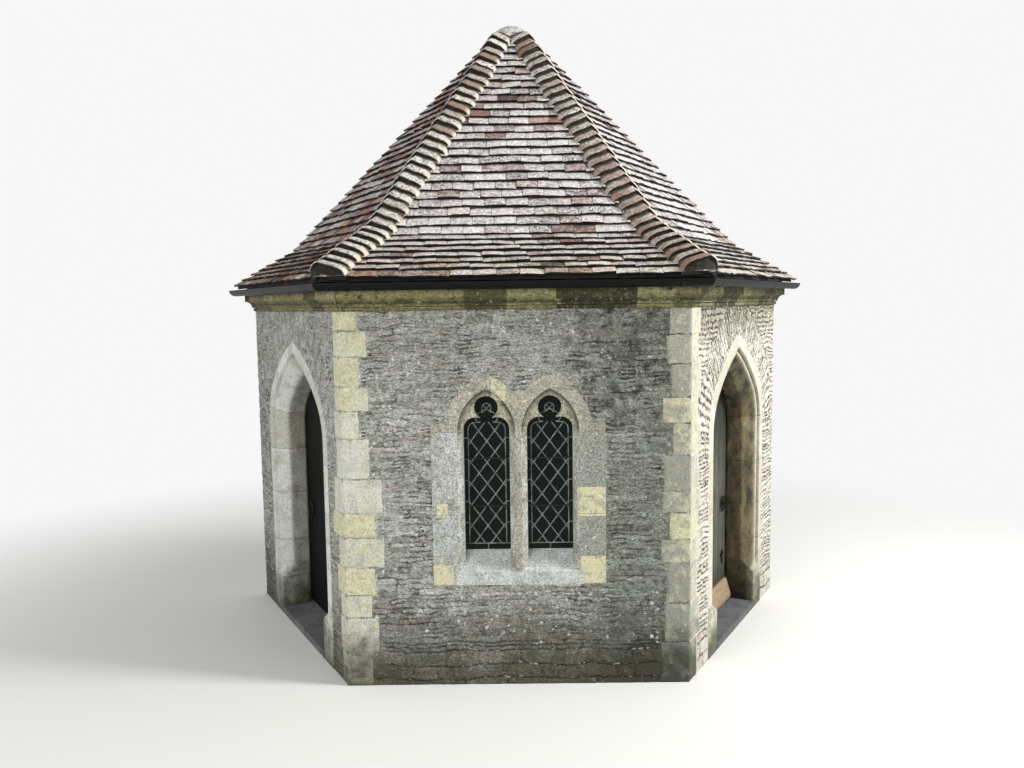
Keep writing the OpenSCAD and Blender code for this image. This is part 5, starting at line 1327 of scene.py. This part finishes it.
def capping(name, node):
    """Half a turn about the apex by rows from the foot up, its radius falling to the top as the root of
    1 - rise to the power 2.2, with lumps of 40 to 80 mm."""
    low, top, wide = 5.04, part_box(node)[1].z - 0.004, 0.212
    turn, rise = np.meshgrid(np.linspace(0, math.pi, 49), np.linspace(0, 1, 17), indexing="ij")
    radius = wide * np.sqrt(np.maximum(1 - rise ** 2.2, 0))
    radius = radius * (1 + 0.10 * rough(turn * 0.2, rise * 0.25, 0.08, 71))
    z = low + (top - low) * (rise - 0.04 * (1 - rise) * rough(turn * 0.2 + 3, rise * 0.2, 0.07, 75))
    y = BACK_Y - 0.001 - radius * np.sin(turn)
    points = np.stack([radius * np.cos(turn), y, np.minimum(z, top)], -1)
    obj = surface(name, points, grid_faces(*turn.shape)[:, (0, 3, 2, 1)], lime_mortar)
    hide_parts(node)


capping("mortar_cap", "apex_cap")

# Floor of the studio, lamps and camera
# A plain pale floor, one broad soft lamp from the upper right as the sun stood, a weak one from the left.
# Away from the object the floor fades into the pale background, which only the camera, glass and metal see
# at its full strength.
BACKGROUND, SOFT_LIGHT = 0.93, 0.55


def seen_share(tree):
    """1 for rays from the camera, through glass or off a shiny surface, and 0 for light on the object."""
    path = add(tree, "LightPath").outputs
    seen = add(tree, "Math", operation="MAXIMUM", _0=path["Is Camera Ray"], _1=path["Is Transmission Ray"])
    return add(tree, "Math", operation="MAXIMUM", _0=seen, _1=path["Is Glossy Ray"])


stand, tree, here = material("studio_floor_matt_paint")
away = add(tree, "VectorMath", operation="LENGTH", _0=here)
faded = add(tree, "MapRange", interpolation_type="SMOOTHSTEP", Value=away, From_Min=3.4, From_Max=8.5,
            To_Max=seen_share(tree))
paint = add(tree, "BsdfPrincipled", Base_Color="#dcdcd8", Roughness=0.9)
haze = add(tree, "Emission", Color="#ffffff", Strength=BACKGROUND)
add(tree, "OutputMaterial", Surface=add(tree, "MixShader", _0=faded, _1=paint, _2=haze))
bpy.ops.mesh.primitive_plane_add(size=60, location=(0, 0, -0.001))
ground = bpy.context.object
ground.name = "studio_floor"
ground.data.materials.append(stand)

world = bpy.data.worlds.new("sky")
world.use_nodes = True
world.node_tree.nodes.clear()
strength = seen_share(world.node_tree)
strength = add(world.node_tree, "MapRange", Value=strength, To_Min=SOFT_LIGHT, To_Max=BACKGROUND)
light = add(world.node_tree, "Background", Color="#ffffff", Strength=strength)
add(world.node_tree, "OutputWorld", Surface=light)
bpy.context.scene.world = world

for name, place, size, power in (("key", (9.2, -2.4, 7.8), 2.5, 1400),
                                 ("fill", (-6.0, -9.5, 6.0), 6.0, 560)):
    lamp = bpy.data.lights.new(name, "AREA")
    lamp.energy, lamp.size = power, size
    obj = bpy.data.objects.new(name, lamp)
    bpy.context.scene.collection.objects.link(obj)
    aim = np.array([0, 0, 1.6]) - np.array(place)
    obj.location = place
    obj.rotation_euler = (math.acos(-aim[2] / np.linalg.norm(aim)), 0, math.atan2(aim[0], -aim[1]) + math.pi)

# The camera stands where the photograph was taken: its place, its turn and tilt, and its focal length in
# pixels of a picture 1024 wide
CAMERA_AT = (0.012, -7.042, 2.781)
FOCAL_PX, PICTURE_PX, FILM_MM = 864.4, 1024, 36
pitch, yaw, roll = math.radians(5.35), math.radians(-0.31), math.radians(0.77)
ahead = np.array([math.sin(yaw) * math.cos(pitch), math.cos(yaw) * math.cos(pitch), -math.sin(pitch)])
level = np.array([math.cos(yaw), -math.sin(yaw), 0])
below = np.cross(ahead, level)
right = math.cos(roll) * level + math.sin(roll) * below
down = math.cos(roll) * below - math.sin(roll) * level
lens = bpy.data.cameras.new("photo_view")
lens.lens, lens.sensor_width = FOCAL_PX / PICTURE_PX * FILM_MM, FILM_MM
camera = bpy.data.objects.new("photo_view", lens)
bpy.context.scene.collection.objects.link(camera)
turned = np.stack([right, -down, -ahead], 1)
camera.matrix_world = Matrix([[*row, at] for row, at in zip(turned, CAMERA_AT)] + [[0, 0, 0, 1]])
bpy.context.scene.camera = camera
bpy.context.scene.view_settings.view_transform = "Standard"
